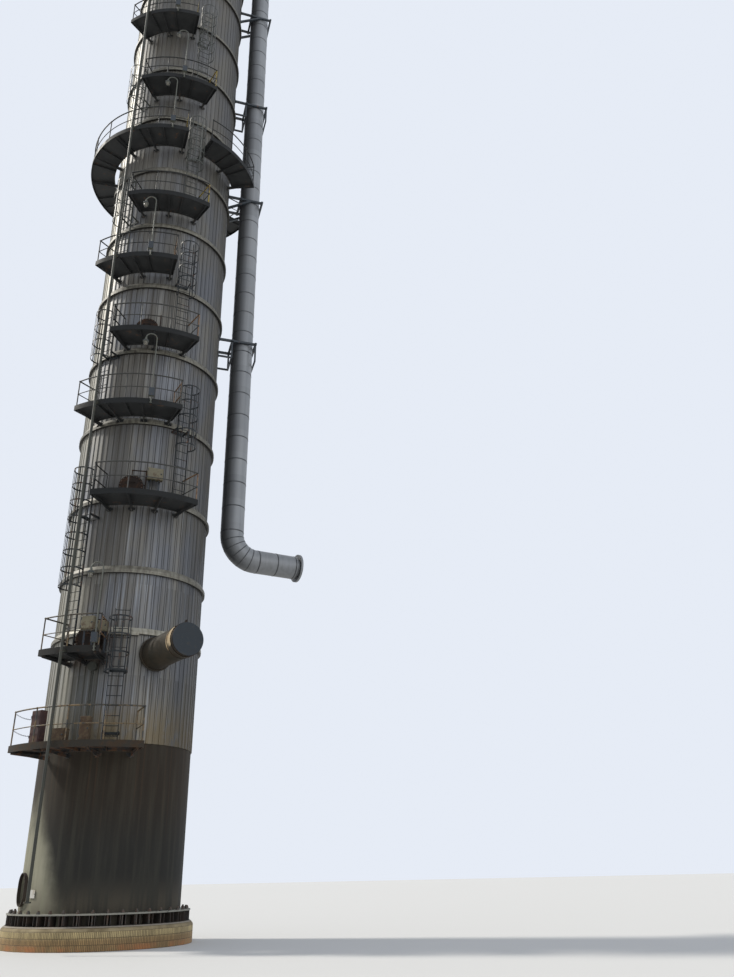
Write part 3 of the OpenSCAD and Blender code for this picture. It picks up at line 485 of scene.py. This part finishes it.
def skirt_material():
    """Grey-green fire coat, dark with painted shade and soot, and stained below the lowest deck."""
    g = Graph("skirt_coat")
    phi, z = g.cylinder
    streak = g.streaks(11.0, 0.6, 5.0)
    patch = g.noise(1.6, 5.0, 0.6)
    color = g.mix(g.vary(streak), (0.20, 0.195, 0.14), (0.27, 0.26, 0.195))
    # The grey-green shows only on the lower left, where the sun falls; the front, the back and the
    # top are dark with painted shade and soot
    front = g.plus(g.times(z, 0.34), g.plus(phi, g.times(patch, 0.3)))
    back = g.times(g.minus(g.times(patch, 0.8), g.plus(phi, 3.3)), 0.5)
    dark = g.larger(g.step(g.larger(front, back), -0.35, -0.05),
                    g.step(g.plus(z, g.times(patch, 1.2)), 2.1, 2.9))
    soot_and_shade = g.mix(g.step(z, 1.2, 2.2), (0.018, 0.0175, 0.015), (0.023, 0.017, 0.011))
    color = g.mix(g.times(dark, g.step(streak, 0.2, 0.6, 0.9, 1.0)), color, soot_and_shade)
    access_frame = g.times(g.step(g.radius, SKIRT_R + 0.004, SKIRT_R + 0.008), g.step(z, 1.2, 1.1))
    color = g.mix(access_frame, color, (0.028, 0.019, 0.015))
    rust = g.times(g.step(g.streaks(24.0, 0.5, 4.0), 0.52, 0.7), g.step(z, 1.0, 2.6))
    color = g.stain(color, 0.35, rust, (0.07, 0.038, 0.02))
    splashed = g.times(g.step(z, 1.0, 0.45), g.step(streak, 0.3, 0.6))
    color = g.stain(color, 0.55, splashed, (0.10, 0.085, 0.06))
    g.bump(g.noise(16.0, 5.0, 0.65), 0.5, 0.005)
    g.gloss(0.3)
    return g.finish(color, 0.8)


def stub_material():
    """Rusty sleeve with a cream crescent before its end: painted sunlight on its upper left."""
    g = Graph("stub_sleeve")
    a = math.radians(STUB_PHI)
    x, y, z = g.split(g.pos)
    along = g.plus(g.times(x, math.sin(a)), g.times(y, -math.cos(a)))
    beside = g.plus(g.times(x, math.cos(a)), g.times(y, math.sin(a)))
    blotch = g.noise(5.0, 6.0, 0.62)
    color = g.mix(g.vary(blotch), (0.018, 0.015, 0.008), (0.042, 0.031, 0.017))
    # Painted sunlight: the band is cream only on the upper left of the sleeve
    lean = g.plus(g.minus(g.times(g.minus(z, STUB_Z), 0.6), g.times(beside, 0.8)),
                  g.times(g.minus(blotch, 0.5), 0.25))
    painted_sunlit_band = g.times(g.between(along, *STUB_BAND), g.step(lean, 0.09, 0.13))
    cream = g.mix(g.step(blotch, 0.4, 0.7), (0.50, 0.39, 0.24), (0.33, 0.22, 0.11))
    g.bump(blotch, 0.4, 0.004)
    return g.finish(g.mix(painted_sunlit_band, color, cream), 0.7)


def glass_material():
    """Dusty glass of the lamps, unlit."""
    g = Graph("lamp_glass")
    g.bsdf.inputs["Coat Weight"].default_value = 0.4
    return g.finish(g.mix(g.noise(60.0, 3.0), (0.13, 0.12, 0.09), (0.22, 0.20, 0.155)), 0.3)


def plate_material():
    """White enamel with pale brown stains."""
    g = Graph("plate_white")
    worn = g.noise(9.0, 5.0)
    g.bump(worn, 0.2, 0.002)
    return g.finish(g.mix(g.step(worn, 0.4, 0.75), (0.55, 0.54, 0.50), (0.35, 0.30, 0.22)), 0.5)


# One material for each slot of the record
MATERIALS = {
    "concrete": concrete_material(),
    "base_steel": base_material(),
    "bolt_steel": painted("bolt_steel", (0.055, 0.05, 0.042), rust=(0.075, 0.04, 0.024),
                          worn=0.52, scale=20.0),
    "skirt_coat": skirt_material(),
    "vessel_steel": painted("vessel_steel", (0.20, 0.20, 0.20), scale=3.0),
    "cladding": cladding_material(),
    "ring_band": ring_material(),
    "nozzle_rust": painted("nozzle_rust", (0.020, 0.014, 0.011), rust=(0.048, 0.026, 0.016),
                           worn=0.55, scale=9.0, rough=0.75, gloss=0.2),
    "blank_blue": painted("blank_blue", (0.020, 0.027, 0.034), rust=(0.04, 0.04, 0.039),
                          worn=0.6, scale=5.0, gloss=0.3),
    "line_jacket": line_material(),
    "steelwork": painted("steelwork", (0.022, 0.03, 0.038), worn=0.64, scale=7.0),
    "deck_steel": deck_material("deck_steel", 0.0),
    "rail_paint": painted("rail_paint", (0.028, 0.029, 0.028), rust=(0.09, 0.055, 0.03),
                          worn=0.62, scale=9.0, gloss=0.25),
    "ladder_paint": painted("ladder_paint", (0.020, 0.024, 0.026), rust=(0.10, 0.05, 0.03),
                            worn=0.6, scale=9.0, gloss=0.25),
    "pipe_paint": painted("pipe_paint", (0.040, 0.042, 0.034), rust=(0.08, 0.055, 0.035),
                          worn=0.62, scale=6.0, gloss=0.3),
}
# Nodes whose looks differ from those of their slot
SPECIAL = {
    "stub_nozzle": stub_material(),
    "platform_00": deck_material("deck_stained", 1.0),
    "platform_01": deck_material("deck_rusty", 0.3),
    "railings_lower": painted("rail_stained", (0.034, 0.034, 0.030), rust=(0.15, 0.10, 0.045),
                              worn=0.50, scale=6.0, below=4.5),
    "ladders_middle": painted("ladder_grey", (0.050, 0.055, 0.048), rust=(0.09, 0.06, 0.04),
                              worn=0.62, scale=9.0),
    "ladders_upper": painted("ladder_pale", (0.13, 0.14, 0.12), worn=0.64, scale=9.0),
    "lamp_posts": painted("lamp_grey", (0.090, 0.095, 0.078), rust=(0.07, 0.05, 0.035),
                          worn=0.58, scale=8.0),
}
slot_of = {s["node"]: s["material_slot"] for s in frame["record"]["subparts"]}
for name, obj in frame["nodes"].items():
    finish = SPECIAL.get(name) or MATERIALS[slot_of[name]]
    if not obj.material_slots:
        obj.data.materials.append(finish)
    for material_slot in obj.material_slots:
        material_slot.material = finish


# Mesh code
UP = Vector((0, 0, 1))


def out(phi):
    """Unit vector that points away from the column at an angle."""
    a = math.radians(phi)
    return Vector((math.sin(a), -math.cos(a), 0.0))


def side(phi):
    """Unit vector along the column's wall, towards larger angles."""
    a = math.radians(phi)
    return Vector((math.cos(a), math.sin(a), 0.0))


def spot(phi, r, z):
    return out(phi) * r + UP * z


def across(axis):
    """Two unit vectors across an axis."""
    u = axis.cross(UP)
    if u.length < 0.2:
        u = axis.cross(Vector((1, 0, 0)))
    u.normalize()
    return u, axis.cross(u)


def circle(centre, u, v, r, count):
    """Points round a circle in the plane of u and v."""
    return [centre + (u * math.cos(t) + v * math.sin(t)) * r
            for t in (FULL_TURN * k / count for k in range(count))]


class Shape:
    """Vertices and faces of one piece, gathered from simple closed forms."""

    def __init__(self):
        self.verts, self.faces, self.smooth = [], [], []

    def add(self, verts, faces, smooth=False):
        base = len(self.verts)
        self.verts += [tuple(v) for v in verts]
        self.faces += [tuple(base + i for i in f) for f in faces]
        self.smooth += [smooth] * len(faces)

    def loft(self, rings, closed=False, smooth=True):
        """Skin over rings of equally many points, with a cap at each open end."""
        n = len(rings[0])
        verts = [p for r in rings for p in r]
        faces = []
        for a in range(len(rings) if closed else len(rings) - 1):
            b = (a + 1) % len(rings)
            for i in range(n):
                j = (i + 1) % n
                faces.append((a * n + i, a * n + j, b * n + j, b * n + i))
        self.add(verts, faces, smooth)
        if not closed:
            self.add(rings[0], [tuple(reversed(range(n)))])
            self.add(rings[-1], [tuple(range(n))])

    def tube(self, path, radius, sides=12, closed=False):
        """Round bar along a path of points."""
        rings = []
        count = len(path)
        for i, p in enumerate(path):
            if closed:
                way = path[(i + 1) % count] - path[i - 1]
            else:
                way = path[min(i + 1, count - 1)] - path[max(i - 1, 0)]
            rings.append(circle(p, *across(way.normalized()), radius, sides))
        self.loft(rings, closed)

    def turned(self, profile, origin, axis, sides=32, smooth=True):
        """Body turned from a profile of (radius, distance along the axis)."""
        u, v = across(axis)
        self.loft([circle(origin + axis * d, u, v, r, sides) for r, d in profile], smooth=smooth)

    def block(self, centre, u, v, w, size, bevel=0.0):
        """Box with its edges cut at 45 degrees, along the axes u, v and w."""
        a, b, c = (s / 2 for s in size)
        if bevel:
            outline = [(a - bevel, b), (-a + bevel, b), (-a, b - bevel), (-a, -b + bevel),
                       (-a + bevel, -b), (a - bevel, -b), (a, -b + bevel), (a, b - bevel)]
            inner = [(x * (1 - bevel / a), y * (1 - bevel / b)) for x, y in outline]
            levels = [(inner, -c), (outline, -c + bevel), (outline, c - bevel), (inner, c)]
        else:
            outline = [(a, b), (-a, b), (-a, -b), (a, -b)]
            levels = [(outline, -c), (outline, c)]
        self.loft([[centre + u * x + v * y + w * d for x, y in o] for o, d in levels],
                  smooth=False)

    def build(self, name, material, slot_name):
        mesh = bpy.data.meshes.new(name)
        mesh.from_pydata(self.verts, [], self.faces)
        mesh.polygons.foreach_set("use_smooth", self.smooth)
        mesh.update()
        bm = bmesh.new()
        bm.from_mesh(mesh)
        bmesh.ops.recalc_face_normals(bm, faces=bm.faces)
        bm.to_mesh(mesh)
        bm.free()
        obj = bpy.data.objects.new(name, mesh)
        bpy.context.scene.collection.objects.link(obj)
        mesh.materials.append(material)
        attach(obj, "root")


def stud(shape, base, axis):
    """Hexagon nut with the end of its stud."""
    r, h, end = 0.011, 0.011, 0.012
    nut = [(r * 0.86, 0.0), (r, h * 0.15), (r, h * 0.85), (r * 0.86, h)]
    tip = [(r * 0.52, h * 0.9), (r * 0.52, h + end * 0.8), (r * 0.36, h + end)]
    shape.turned(nut, base, axis, 6, smooth=False)
    shape.turned(tip, base, axis, 10)


# Small parts that the solids leave out
def manway_studs():
    """Nuts on both faces of each manway's bolted joint."""
    count, circle_r, joint = 20, 0.182, 0.056
    shape = Shape()
    for deck, phi in MANWAYS:
        z = DECK_Z[deck] + MANWAY_RISE
        axis = out(phi)
        for k in range(count):
            t = math.radians(360 / count * (k + 0.5))
            at = side(phi) * (circle_r * math.cos(t)) + UP * (z + circle_r * math.sin(t))
            stud(shape, at + axis * MANWAY_FACE, axis)
            stud(shape, at + axis * (MANWAY_FACE - joint), -axis)
    steel = painted("stud_steel", (0.06, 0.04, 0.03), rust=(0.09, 0.045, 0.025), worn=0.5,
                    scale=30.0)
    shape.build("manway_studs", steel, "nozzle_rust")


def band(shape, centre, axis, width=0.026):
    """Raised seam band round the vapour line's jacket."""
    sunk, proud, sides = LINE_R - 0.004, LINE_R + 0.003, 64
    h = width / 2
    shape.turned([(sunk, -h), (proud, -h * 0.8), (proud, h * 0.8), (sunk, h)], centre, axis, sides)


def line_bands():
    """Seam bands on the riser, the elbow, the run and the gooseneck of the vapour line."""
    narrow, above_elbow = 0.02, 0.02
    elbow_angles, bend_angles = range(15, 90, 15), range(0, 192, 12)
    run_places = (0.03, 0.40, 0.78)
    shape = Shape()
    foot = out(LINE_PHI) * LINE_X
    z = RUN_Z + ELBOW_R + above_elbow
    while z < BEND_Z:
        band(shape, foot + UP * z, UP)
        z += SHEET_LEN
    turn = math.radians(RUN_TURN)
    way = Vector((math.cos(turn), math.sin(turn), 0.0))
    elbow = foot + UP * (RUN_Z + ELBOW_R)
    for angle in elbow_angles:
        t = math.radians(angle)
        centre = elbow + way * (ELBOW_R * (1 - math.cos(t))) - UP * (ELBOW_R * math.sin(t))
        band(shape, centre, (way * math.sin(t) - UP * math.cos(t)).normalized(), narrow)
    for d in run_places:
        band(shape, foot + UP * RUN_Z + way * (ELBOW_R + d), way)
    bend, outward = LINE_X / 2, foot.normalized()
    for angle in bend_angles:
        t = math.radians(angle)
        centre = outward * (bend - bend * math.cos(t)) + UP * (BEND_Z + bend * math.sin(t))
        band(shape, centre, (outward * math.sin(t) + UP * math.cos(t)).normalized(), narrow)
    shape.build("line_bands", band_material(), "line_jacket")


def head_seams():
    """Standing seams between the gores of the head's jacket."""
    seams, seam_r, lift, neck_r = 24, 0.007, 0.001, 0.29
    knuckle_steps, crown_steps = 7, 10
    shape = Shape()
    kx = (1 - KNUCKLE_K) * SHELL_R
    knuckle, crown = KNUCKLE_K * SHELL_R + INSULATION, CROWN_K * SHELL_R + INSULATION
    drop = math.sqrt((CROWN_K - KNUCKLE_K) ** 2 - (1 - KNUCKLE_K) ** 2) * SHELL_R
    turn = math.atan2(drop, kx)
    profile = []
    for k in range(knuckle_steps + 1):
        t = turn * k / knuckle_steps
        profile.append((kx + knuckle * math.cos(t), knuckle * math.sin(t)))
    start, end = math.pi / 2 - turn, math.asin(neck_r / crown)
    for k in range(1, crown_steps + 1):
        t = start + (end - start) * k / crown_steps
        profile.append((crown * math.sin(t), crown * math.cos(t) - drop))
    for k in range(seams):
        shape.tube([spot(360 / seams * k, r, TOP_Z + z + lift) for r, z in profile], seam_r, 6)
    shape.build("head_seams", MATERIALS["ring_band"], "cladding")


def gate(bars, hinges, phi, z):
    """Swing gate of two bars between an inner and an outer stile, with two hinges."""
    inner, outer, bar_r, stile_r = 1.36, RAIL_AT - 0.04, 0.011, 0.010
    for h in (0.255, 0.515):
        bars.tube([spot(phi, inner, z + h), spot(phi, RAIL_AT - 0.03, z + h)], bar_r)
    bars.tube([spot(phi, inner, z + 0.244), spot(phi, inner, z + 0.526)], bar_r)
    bars.tube([spot(phi, outer, z + 0.225), spot(phi, outer, z + 0.545)], stile_r)
    for h in (0.235, 0.535):
        hinges.block(spot(phi, RAIL_AT - 0.018, z + h), out(phi), side(phi), UP,
                     (0.05, 0.03, 0.018), 0.003)


def end_rail(bars, phi, z):
    """Painted top rail and post at a deck's end that has no gate."""
    rail_r, post_r, sides = 0.0135, 0.012, 14
    bars.tube([spot(phi, 1.345, z + RAIL_H), spot(phi, RAIL_AT - 0.025, z + RAIL_H)],
              rail_r, sides)
    for low_end, high_end in ((0.06, 0.26), (0.31, RAIL_H - 0.02)):
        bars.tube([spot(phi, RAIL_AT, z + low_end), spot(phi, RAIL_AT, z + high_end)],
                  post_r, sides)


def safety_gates():
    """Gates and end rails beside the ladders: dark on the left, yellow or tan on the right."""
    inset, ladder_near_end = 0.9, 10
    yellow, tan, dark, hinges = Shape(), Shape(), Shape(), Shape()
    for i in range(1, len(DECK_Z)):
        a0, a1 = DECK_SPAN[i]
        right_bars = yellow if i >= FIRST_YELLOW else tan
        if LADDER_PHI[i - 1] > a1 - ladder_near_end or i == RING_DECK:
            gate(right_bars, hinges, a1 - inset, DECK_Z[i])
        else:
            gate(dark, hinges, a0 + inset, DECK_Z[i])
            end_rail(right_bars, a1 - inset, DECK_Z[i])
    yellow_paint = painted("gate_yellow", (0.30, 0.225, 0.035), rust=(0.10, 0.06, 0.03),
                           worn=0.54, scale=14.0)
    tan_paint = painted("gate_tan", (0.21, 0.125, 0.065), rust=(0.09, 0.05, 0.03), worn=0.54,
                        scale=14.0)
    yellow.build("safety_gates", yellow_paint, "rail_paint")
    tan.build("gates_tan", tan_paint, "rail_paint")
    dark.build("gates_dark", MATERIALS["rail_paint"], "rail_paint")
    hinges.build("gate_hinges", MATERIALS["ladder_paint"], "rail_paint")


def cabinet(shape, fittings, phi, r, z, size):
    """Small cabinet with a lipped door, hinges, a lock and glands below."""
    hinge = [(0.006, -0.02), (0.006, 0.02)]
    lock = [(0.012, 0.0), (0.012, 0.01), (0.007, 0.014)]
    gland = [(0.012, 0.0), (0.012, -0.014), (0.008, -0.018), (0.008, -0.03)]
    lip, door = 0.01, 0.008
    w, h, d = size
    u, n = side(phi), out(phi)
    c = spot(phi, r, z)
    shape.block(c, u, UP, n, size, 0.006)
    shape.block(c + n * (d / 2 + door / 2), u, UP, n, (w - 2 * lip, h - 2 * lip, door), 0.003)
    for s in (-0.3, 0.3):
        fittings.turned(hinge, c + n * (d / 2 + 0.006) - u * (w / 2 - 0.004) + UP * (h * s), UP, 10)
    fittings.turned(lock, c + n * (d / 2 + 0.007) + u * (w * 0.36), n, 16)
    for s in (-0.25, 0.0, 0.25):
        fittings.turned(gland, c + u * (w * s) - UP * (h / 2), UP, 12)


def cabinets():
    """Cabinets on the second and third decks, and the boxes that stand on the lowest one."""
    flat_w, flat_t, flat_gap = 0.03, 0.008, 0.006
    boxes, fittings, rusty, maroon = Shape(), Shape(), Shape(), Shape()
    for deck, phi, r, lift, size in CABINETS:
        z = DECK_Z[deck] + lift
        shape = boxes if deck else maroon if size[1] > TALL_CABINET else rusty
        cabinet(shape, fittings, phi, r, z, size)
        # Two flats that hold the cabinet up from the deck
        foot, head = DECK_Z[deck] + 0.002, z + size[1] / 2
        for s in (-0.32, 0.32):
            back = spot(phi, r - size[2] / 2 - flat_gap, 0) + side(phi) * (size[0] * s)
            fittings.block(back + UP * ((head + foot) / 2), side(phi), out(phi), UP,
                           (flat_w, flat_t, head - foot))
    tan = painted("cabinet_tan", (0.165, 0.148, 0.095), rust=(0.10, 0.07, 0.045), worn=0.57,
                  scale=7.0, rough=0.6)
    rust = painted("cabinet_rust", (0.095, 0.066, 0.034), rust=(0.06, 0.036, 0.02), worn=0.5,
                   scale=9.0, rough=0.8)
    dark_red = painted("cabinet_maroon", (0.050, 0.022, 0.020), rust=(0.09, 0.045, 0.025),
                       worn=0.56, scale=6.0, rough=0.7)
    boxes.build("cabinets", tan, "pipe_paint")
    rusty.build("cabinet_low", rust, "nozzle_rust")
    maroon.build("cabinet_tall", dark_red, "nozzle_rust")
    fittings.build("cabinet_fittings", MATERIALS["steelwork"], "steelwork")


def lamp_details():
    """Glass, wire guard and rim of each lamp, and the lid of its junction box."""
    globe = [(0.036, 0.008), (0.036, -0.012), (0.030, -0.034), (0.018, -0.046), (0.004, -0.050)]
    rim = [(0.050, 0.030), (0.0545, 0.030), (0.0545, 0.046), (0.050, 0.048)]
    wire = [(0.041, 0.008), (0.041, -0.018), (0.030, -0.044), (0.006, -0.056)]
    screw = [(0.006, 0.0), (0.006, 0.004), (0.003, 0.006)]
    wires, wire_r, hoop_r, hoop_wire_r, hoop_drop = 6, 0.0022, 0.040, 0.002, 0.02
    lid_out, lid_up, lid_size = 0.064, 0.15, (0.098, 0.158, 0.006)
    metal, glass = Shape(), Shape()
    for deck, phi in LAMPS:
        u, n = side(phi), out(phi)
        foot = DECK_Z[deck]
        head = spot(phi, LAMP_AT, foot + LAMP_H - LAMP_DEEP) - u * LAMP_REACH
        glass.turned(globe, head, UP, 24)
        metal.turned(rim, head, UP, 32)
        for k in range(wires):
            t = FULL_TURN * k / wires
            way = Vector((math.cos(t), math.sin(t), 0))
            metal.tube([head + way * r + UP * h for r, h in wire], wire_r, 6)
        metal.tube(circle(head - UP * hoop_drop, Vector((1, 0, 0)), Vector((0, 1, 0)), hoop_r, 24),
                   hoop_wire_r, 6, closed=True)
        lid = spot(phi, LAMP_AT + lid_out, foot + lid_up)
        metal.block(lid, u, UP, n, lid_size, 0.002)
        for x in (-0.036, 0.036):
            for h in (-0.066, 0.066):
                metal.turned(screw, lid + u * x + UP * h + n * (lid_size[2] / 2), n, 8)
    metal.build("lamp_fittings", MATERIALS["steelwork"], "steelwork")
    glass.build("lamp_glasses", glass_material(), "ladder_paint")


def pedestal_tiles():
    """Narrow upright tiles round the pedestal, in three rows, each with cut front edges."""
    joint, edge, edge_turn = 0.11, 0.0015, 0.06
    shape = Shape()
    step = 360.0 / TILE_COUNT
    for row in range(TILE_ROWS):
        z0, z1 = row * TILE_PITCH + 0.004, (row + 1) * TILE_PITCH - 0.001
        for k in range(TILE_COUNT):
            a0, a1 = k * step + joint, (k + 1) * step - joint
            rings = []
            for r, da, dz in ((TILE_BACK_R, 0.0, 0.0), (TILE_FACE_R - edge, 0.0, 0.0),
                              (TILE_FACE_R, edge_turn, edge)):
                rings.append([spot(a0 + da, r, z0 + dz), spot(a1 - da, r, z0 + dz),
                              spot(a1 - da, r, z1 - dz), spot(a0 + da, r, z1 - dz)])
            shape.loft(rings, smooth=False)
    shape.build("pedestal_tiles", tile_material(), "concrete")


def grout_ring():
    """Bead of grout on the pedestal, round the edge of the base plate."""
    section = [(-0.004, 0.0), (0.028, 0.0005), (0.022, 0.006), (0.004, 0.016), (-0.004, 0.016)]
    count = 120
    plate_r = SKIRT_R + CHAIR_W
    shape = Shape()
    shape.loft([[spot(360 / count * k, plate_r + r, PEDESTAL_H + z) for r, z in section]
                for k in range(count)], closed=True, smooth=False)
    shape.build("grout_ring", grout_material(), "concrete")


def ring_screws():
    """One screw in each ring between two ribs."""
    screw, drop = [(0.006, -0.001), (0.0055, 0.003), (0.003, 0.005)], 0.005
    shape = Shape()
    for z in RINGS:
        for k in range(RIB_COUNT):
            phi = 360.0 * (k + 0.5) / RIB_COUNT
            shape.turned(screw, spot(phi, RING_R, z - drop), out(phi), 6)
    shape.build("ring_screws", MATERIALS["ring_band"], "ring_band")


def stub_details():
    """Weld beads and a lifting lug on the blanked stub."""
    points, bead_r, ripple, ripples = 96, 0.006, 0.0015, 31
    lug_along, lug_size = 2.30, (0.07, 0.075, 0.012)
    bead, lug = Shape(), Shape()
    axis = out(STUB_PHI)
    u, v = across(axis)
    centre = UP * STUB_Z
    for along, lift in STUB_BEADS:
        path = []
        for k in range(points):
            t = FULL_TURN * k / points
            r = STUB_R + lift + ripple * math.sin(ripples * t)
            path.append(centre + axis * along + (u * math.cos(t) + v * math.sin(t)) * r)
        bead.tube(path, bead_r, 8, closed=True)
    top = centre + axis * lug_along + UP * (STUB_R + 0.003)
    lug.block(top + UP * 0.03, axis, UP, side(STUB_PHI), lug_size, 0.002)
    bead.build("stub_beads", MATERIALS["nozzle_rust"], "nozzle_rust")
    lug.build("stub_lug", MATERIALS["nozzle_rust"], "nozzle_rust")


def skirt_plate():
    """Blank plate on the skirt beside its access, on two bolts."""
    phi, z, stand_off, bolt_x = -54.0, 0.722, 0.012, 0.055
    bolt = [(0.004, -0.012), (0.004, 0.003), (0.007, 0.003), (0.006, 0.006)]
    plate, bolts = Shape(), Shape()
    at = spot(phi, SKIRT_R + stand_off, z)
    plate.block(at, side(phi), UP, out(phi), (0.13, 0.11, 0.004), 0.001)
    for x in (-bolt_x, bolt_x):
        bolts.turned(bolt, at + side(phi) * x, out(phi), 8)
    plate.build("skirt_plate", plate_material(), "pipe_paint")
    bolts.build("skirt_plate_bolts", MATERIALS["bolt_steel"], "bolt_steel")


def end_chains():
    """Two chains across the open left end of the lowest deck."""
    links, sag = 26, 0.055
    link_long, link_wide, link_r = 0.0125, 0.006, 0.0022
    shape = Shape()
    phi = DECK_SPAN[0][0] + 0.9
    n = out(phi)
    for h in (0.27, 0.52):
        start = spot(phi, SKIRT_R + 0.14, DECK_Z[0] + h)
        end = spot(phi, RAIL_AT - 0.015, DECK_Z[0] + h)
        for k in range(links):
            t = (k + 0.5) / links
            c = start.lerp(end, t) - UP * (sag * (1 - (2 * t - 1) ** 2))
            other = side(phi) if k % 2 else UP
            loop = [c + n * (link_long * math.cos(q)) + other * (link_wide * math.sin(q))
                    for q in (FULL_TURN * j / 10 for j in range(10))]
            shape.tube(loop, link_r, 5, closed=True)
    shape.build("end_chains", MATERIALS["ladder_paint"], "rail_paint")


manway_studs()
line_bands()
head_seams()
safety_gates()
cabinets()
lamp_details()
pedestal_tiles()
grout_ring()
ring_screws()
stub_details()
skirt_plate()
end_chains()


# Camera, light and floor
def camera():
    """Camera solved from the photograph, at eye height in front of the column."""
    pitch, roll, heading = math.radians(24.5985), math.radians(-1.06743), math.radians(16.262)
    place = (0.0, -15.0, 0.90)
    focal_px, photo_height_px, sensor = 842.54, 977.0, 36.0
    across_view = Vector((math.cos(heading), -math.sin(heading), 0.0))
    level = Vector((math.sin(heading), math.cos(heading), 0.0))
    ahead = level * math.cos(pitch) + UP * math.sin(pitch)
    above = UP * math.cos(pitch) - level * math.sin(pitch)
    right = across_view * math.cos(roll) + above * math.sin(roll)
    top = above * math.cos(roll) - across_view * math.sin(roll)
    data = bpy.data.cameras.new("camera")
    data.sensor_width = sensor
    data.lens = focal_px / photo_height_px * sensor
    data.clip_end = 500.0
    obj = bpy.data.objects.new("camera", data)
    bpy.context.scene.collection.objects.link(obj)
    axes = Matrix((right, top, -ahead)).transposed()
    obj.matrix_world = Matrix.Translation(place) @ axes.to_4x4()
    bpy.context.scene.camera = obj


def sun(name, strength, location, target, spread, color=(1, 1, 1)):
    """Distant lamp that shines from one place towards another."""
    data = bpy.data.lights.new(name, "SUN")
    data.energy = strength
    data.color = color
    data.angle = math.radians(spread)
    obj = bpy.data.objects.new(name, data)
    bpy.context.scene.collection.objects.link(obj)
    obj.location = location
    obj.rotation_mode = "QUATERNION"
    obj.rotation_quaternion = (Vector(target) - Vector(location)).to_track_quat("-Z", "Y")


def ground():
    """Plain pale floor."""
    reach = 120.0
    mesh = bpy.data.meshes.new("floor")
    mesh.from_pydata([(-reach, -reach, 0), (reach, -reach, 0), (reach, reach, 0),
                      (-reach, reach, 0)], [], [(0, 1, 2, 3)])
    floor = bpy.data.objects.new("floor", mesh)
    bpy.context.scene.collection.objects.link(floor)
    mesh.materials.append(Graph("floor_pale").finish((0.62, 0.62, 0.61, 1.0), 0.9))


def sky():
    """Pale world, brighter where the camera, gloss or glass sees it than as a light."""
    light_strength, seen_strength = 0.62, 0.92
    world = bpy.data.worlds.new("world")
    bpy.context.scene.world = world
    world.use_nodes = True
    tree = world.node_tree
    background = tree.nodes["Background"]
    paths = tree.nodes.new("ShaderNodeLightPath")
    seen = paths.outputs["Is Camera Ray"]
    for other in ("Is Glossy Ray", "Is Transmission Ray"):
        either = tree.nodes.new("ShaderNodeMath")
        either.operation = "MAXIMUM"
        tree.links.new(seen, either.inputs[0])
        tree.links.new(paths.outputs[other], either.inputs[1])
        seen = either.outputs[0]
    strength = tree.nodes.new("ShaderNodeMapRange")
    tree.links.new(seen, strength.inputs["Value"])
    strength.inputs["To Min"].default_value = light_strength
    strength.inputs["To Max"].default_value = seen_strength
    tree.links.new(strength.outputs[0], background.inputs["Strength"])
    background.inputs["Color"].default_value = (0.86, 0.91, 1.0, 1.0)


camera()
ground()
sky()
sun("sun", 3.0, (-22, 12, 26), (0, 0, 4), 6, (1.0, 0.95, 0.86))
sun("fill", 0.5, (10, -20, 14), (0, 0, 8), 40)
bpy.context.scene.view_settings.view_transform = "Standard"
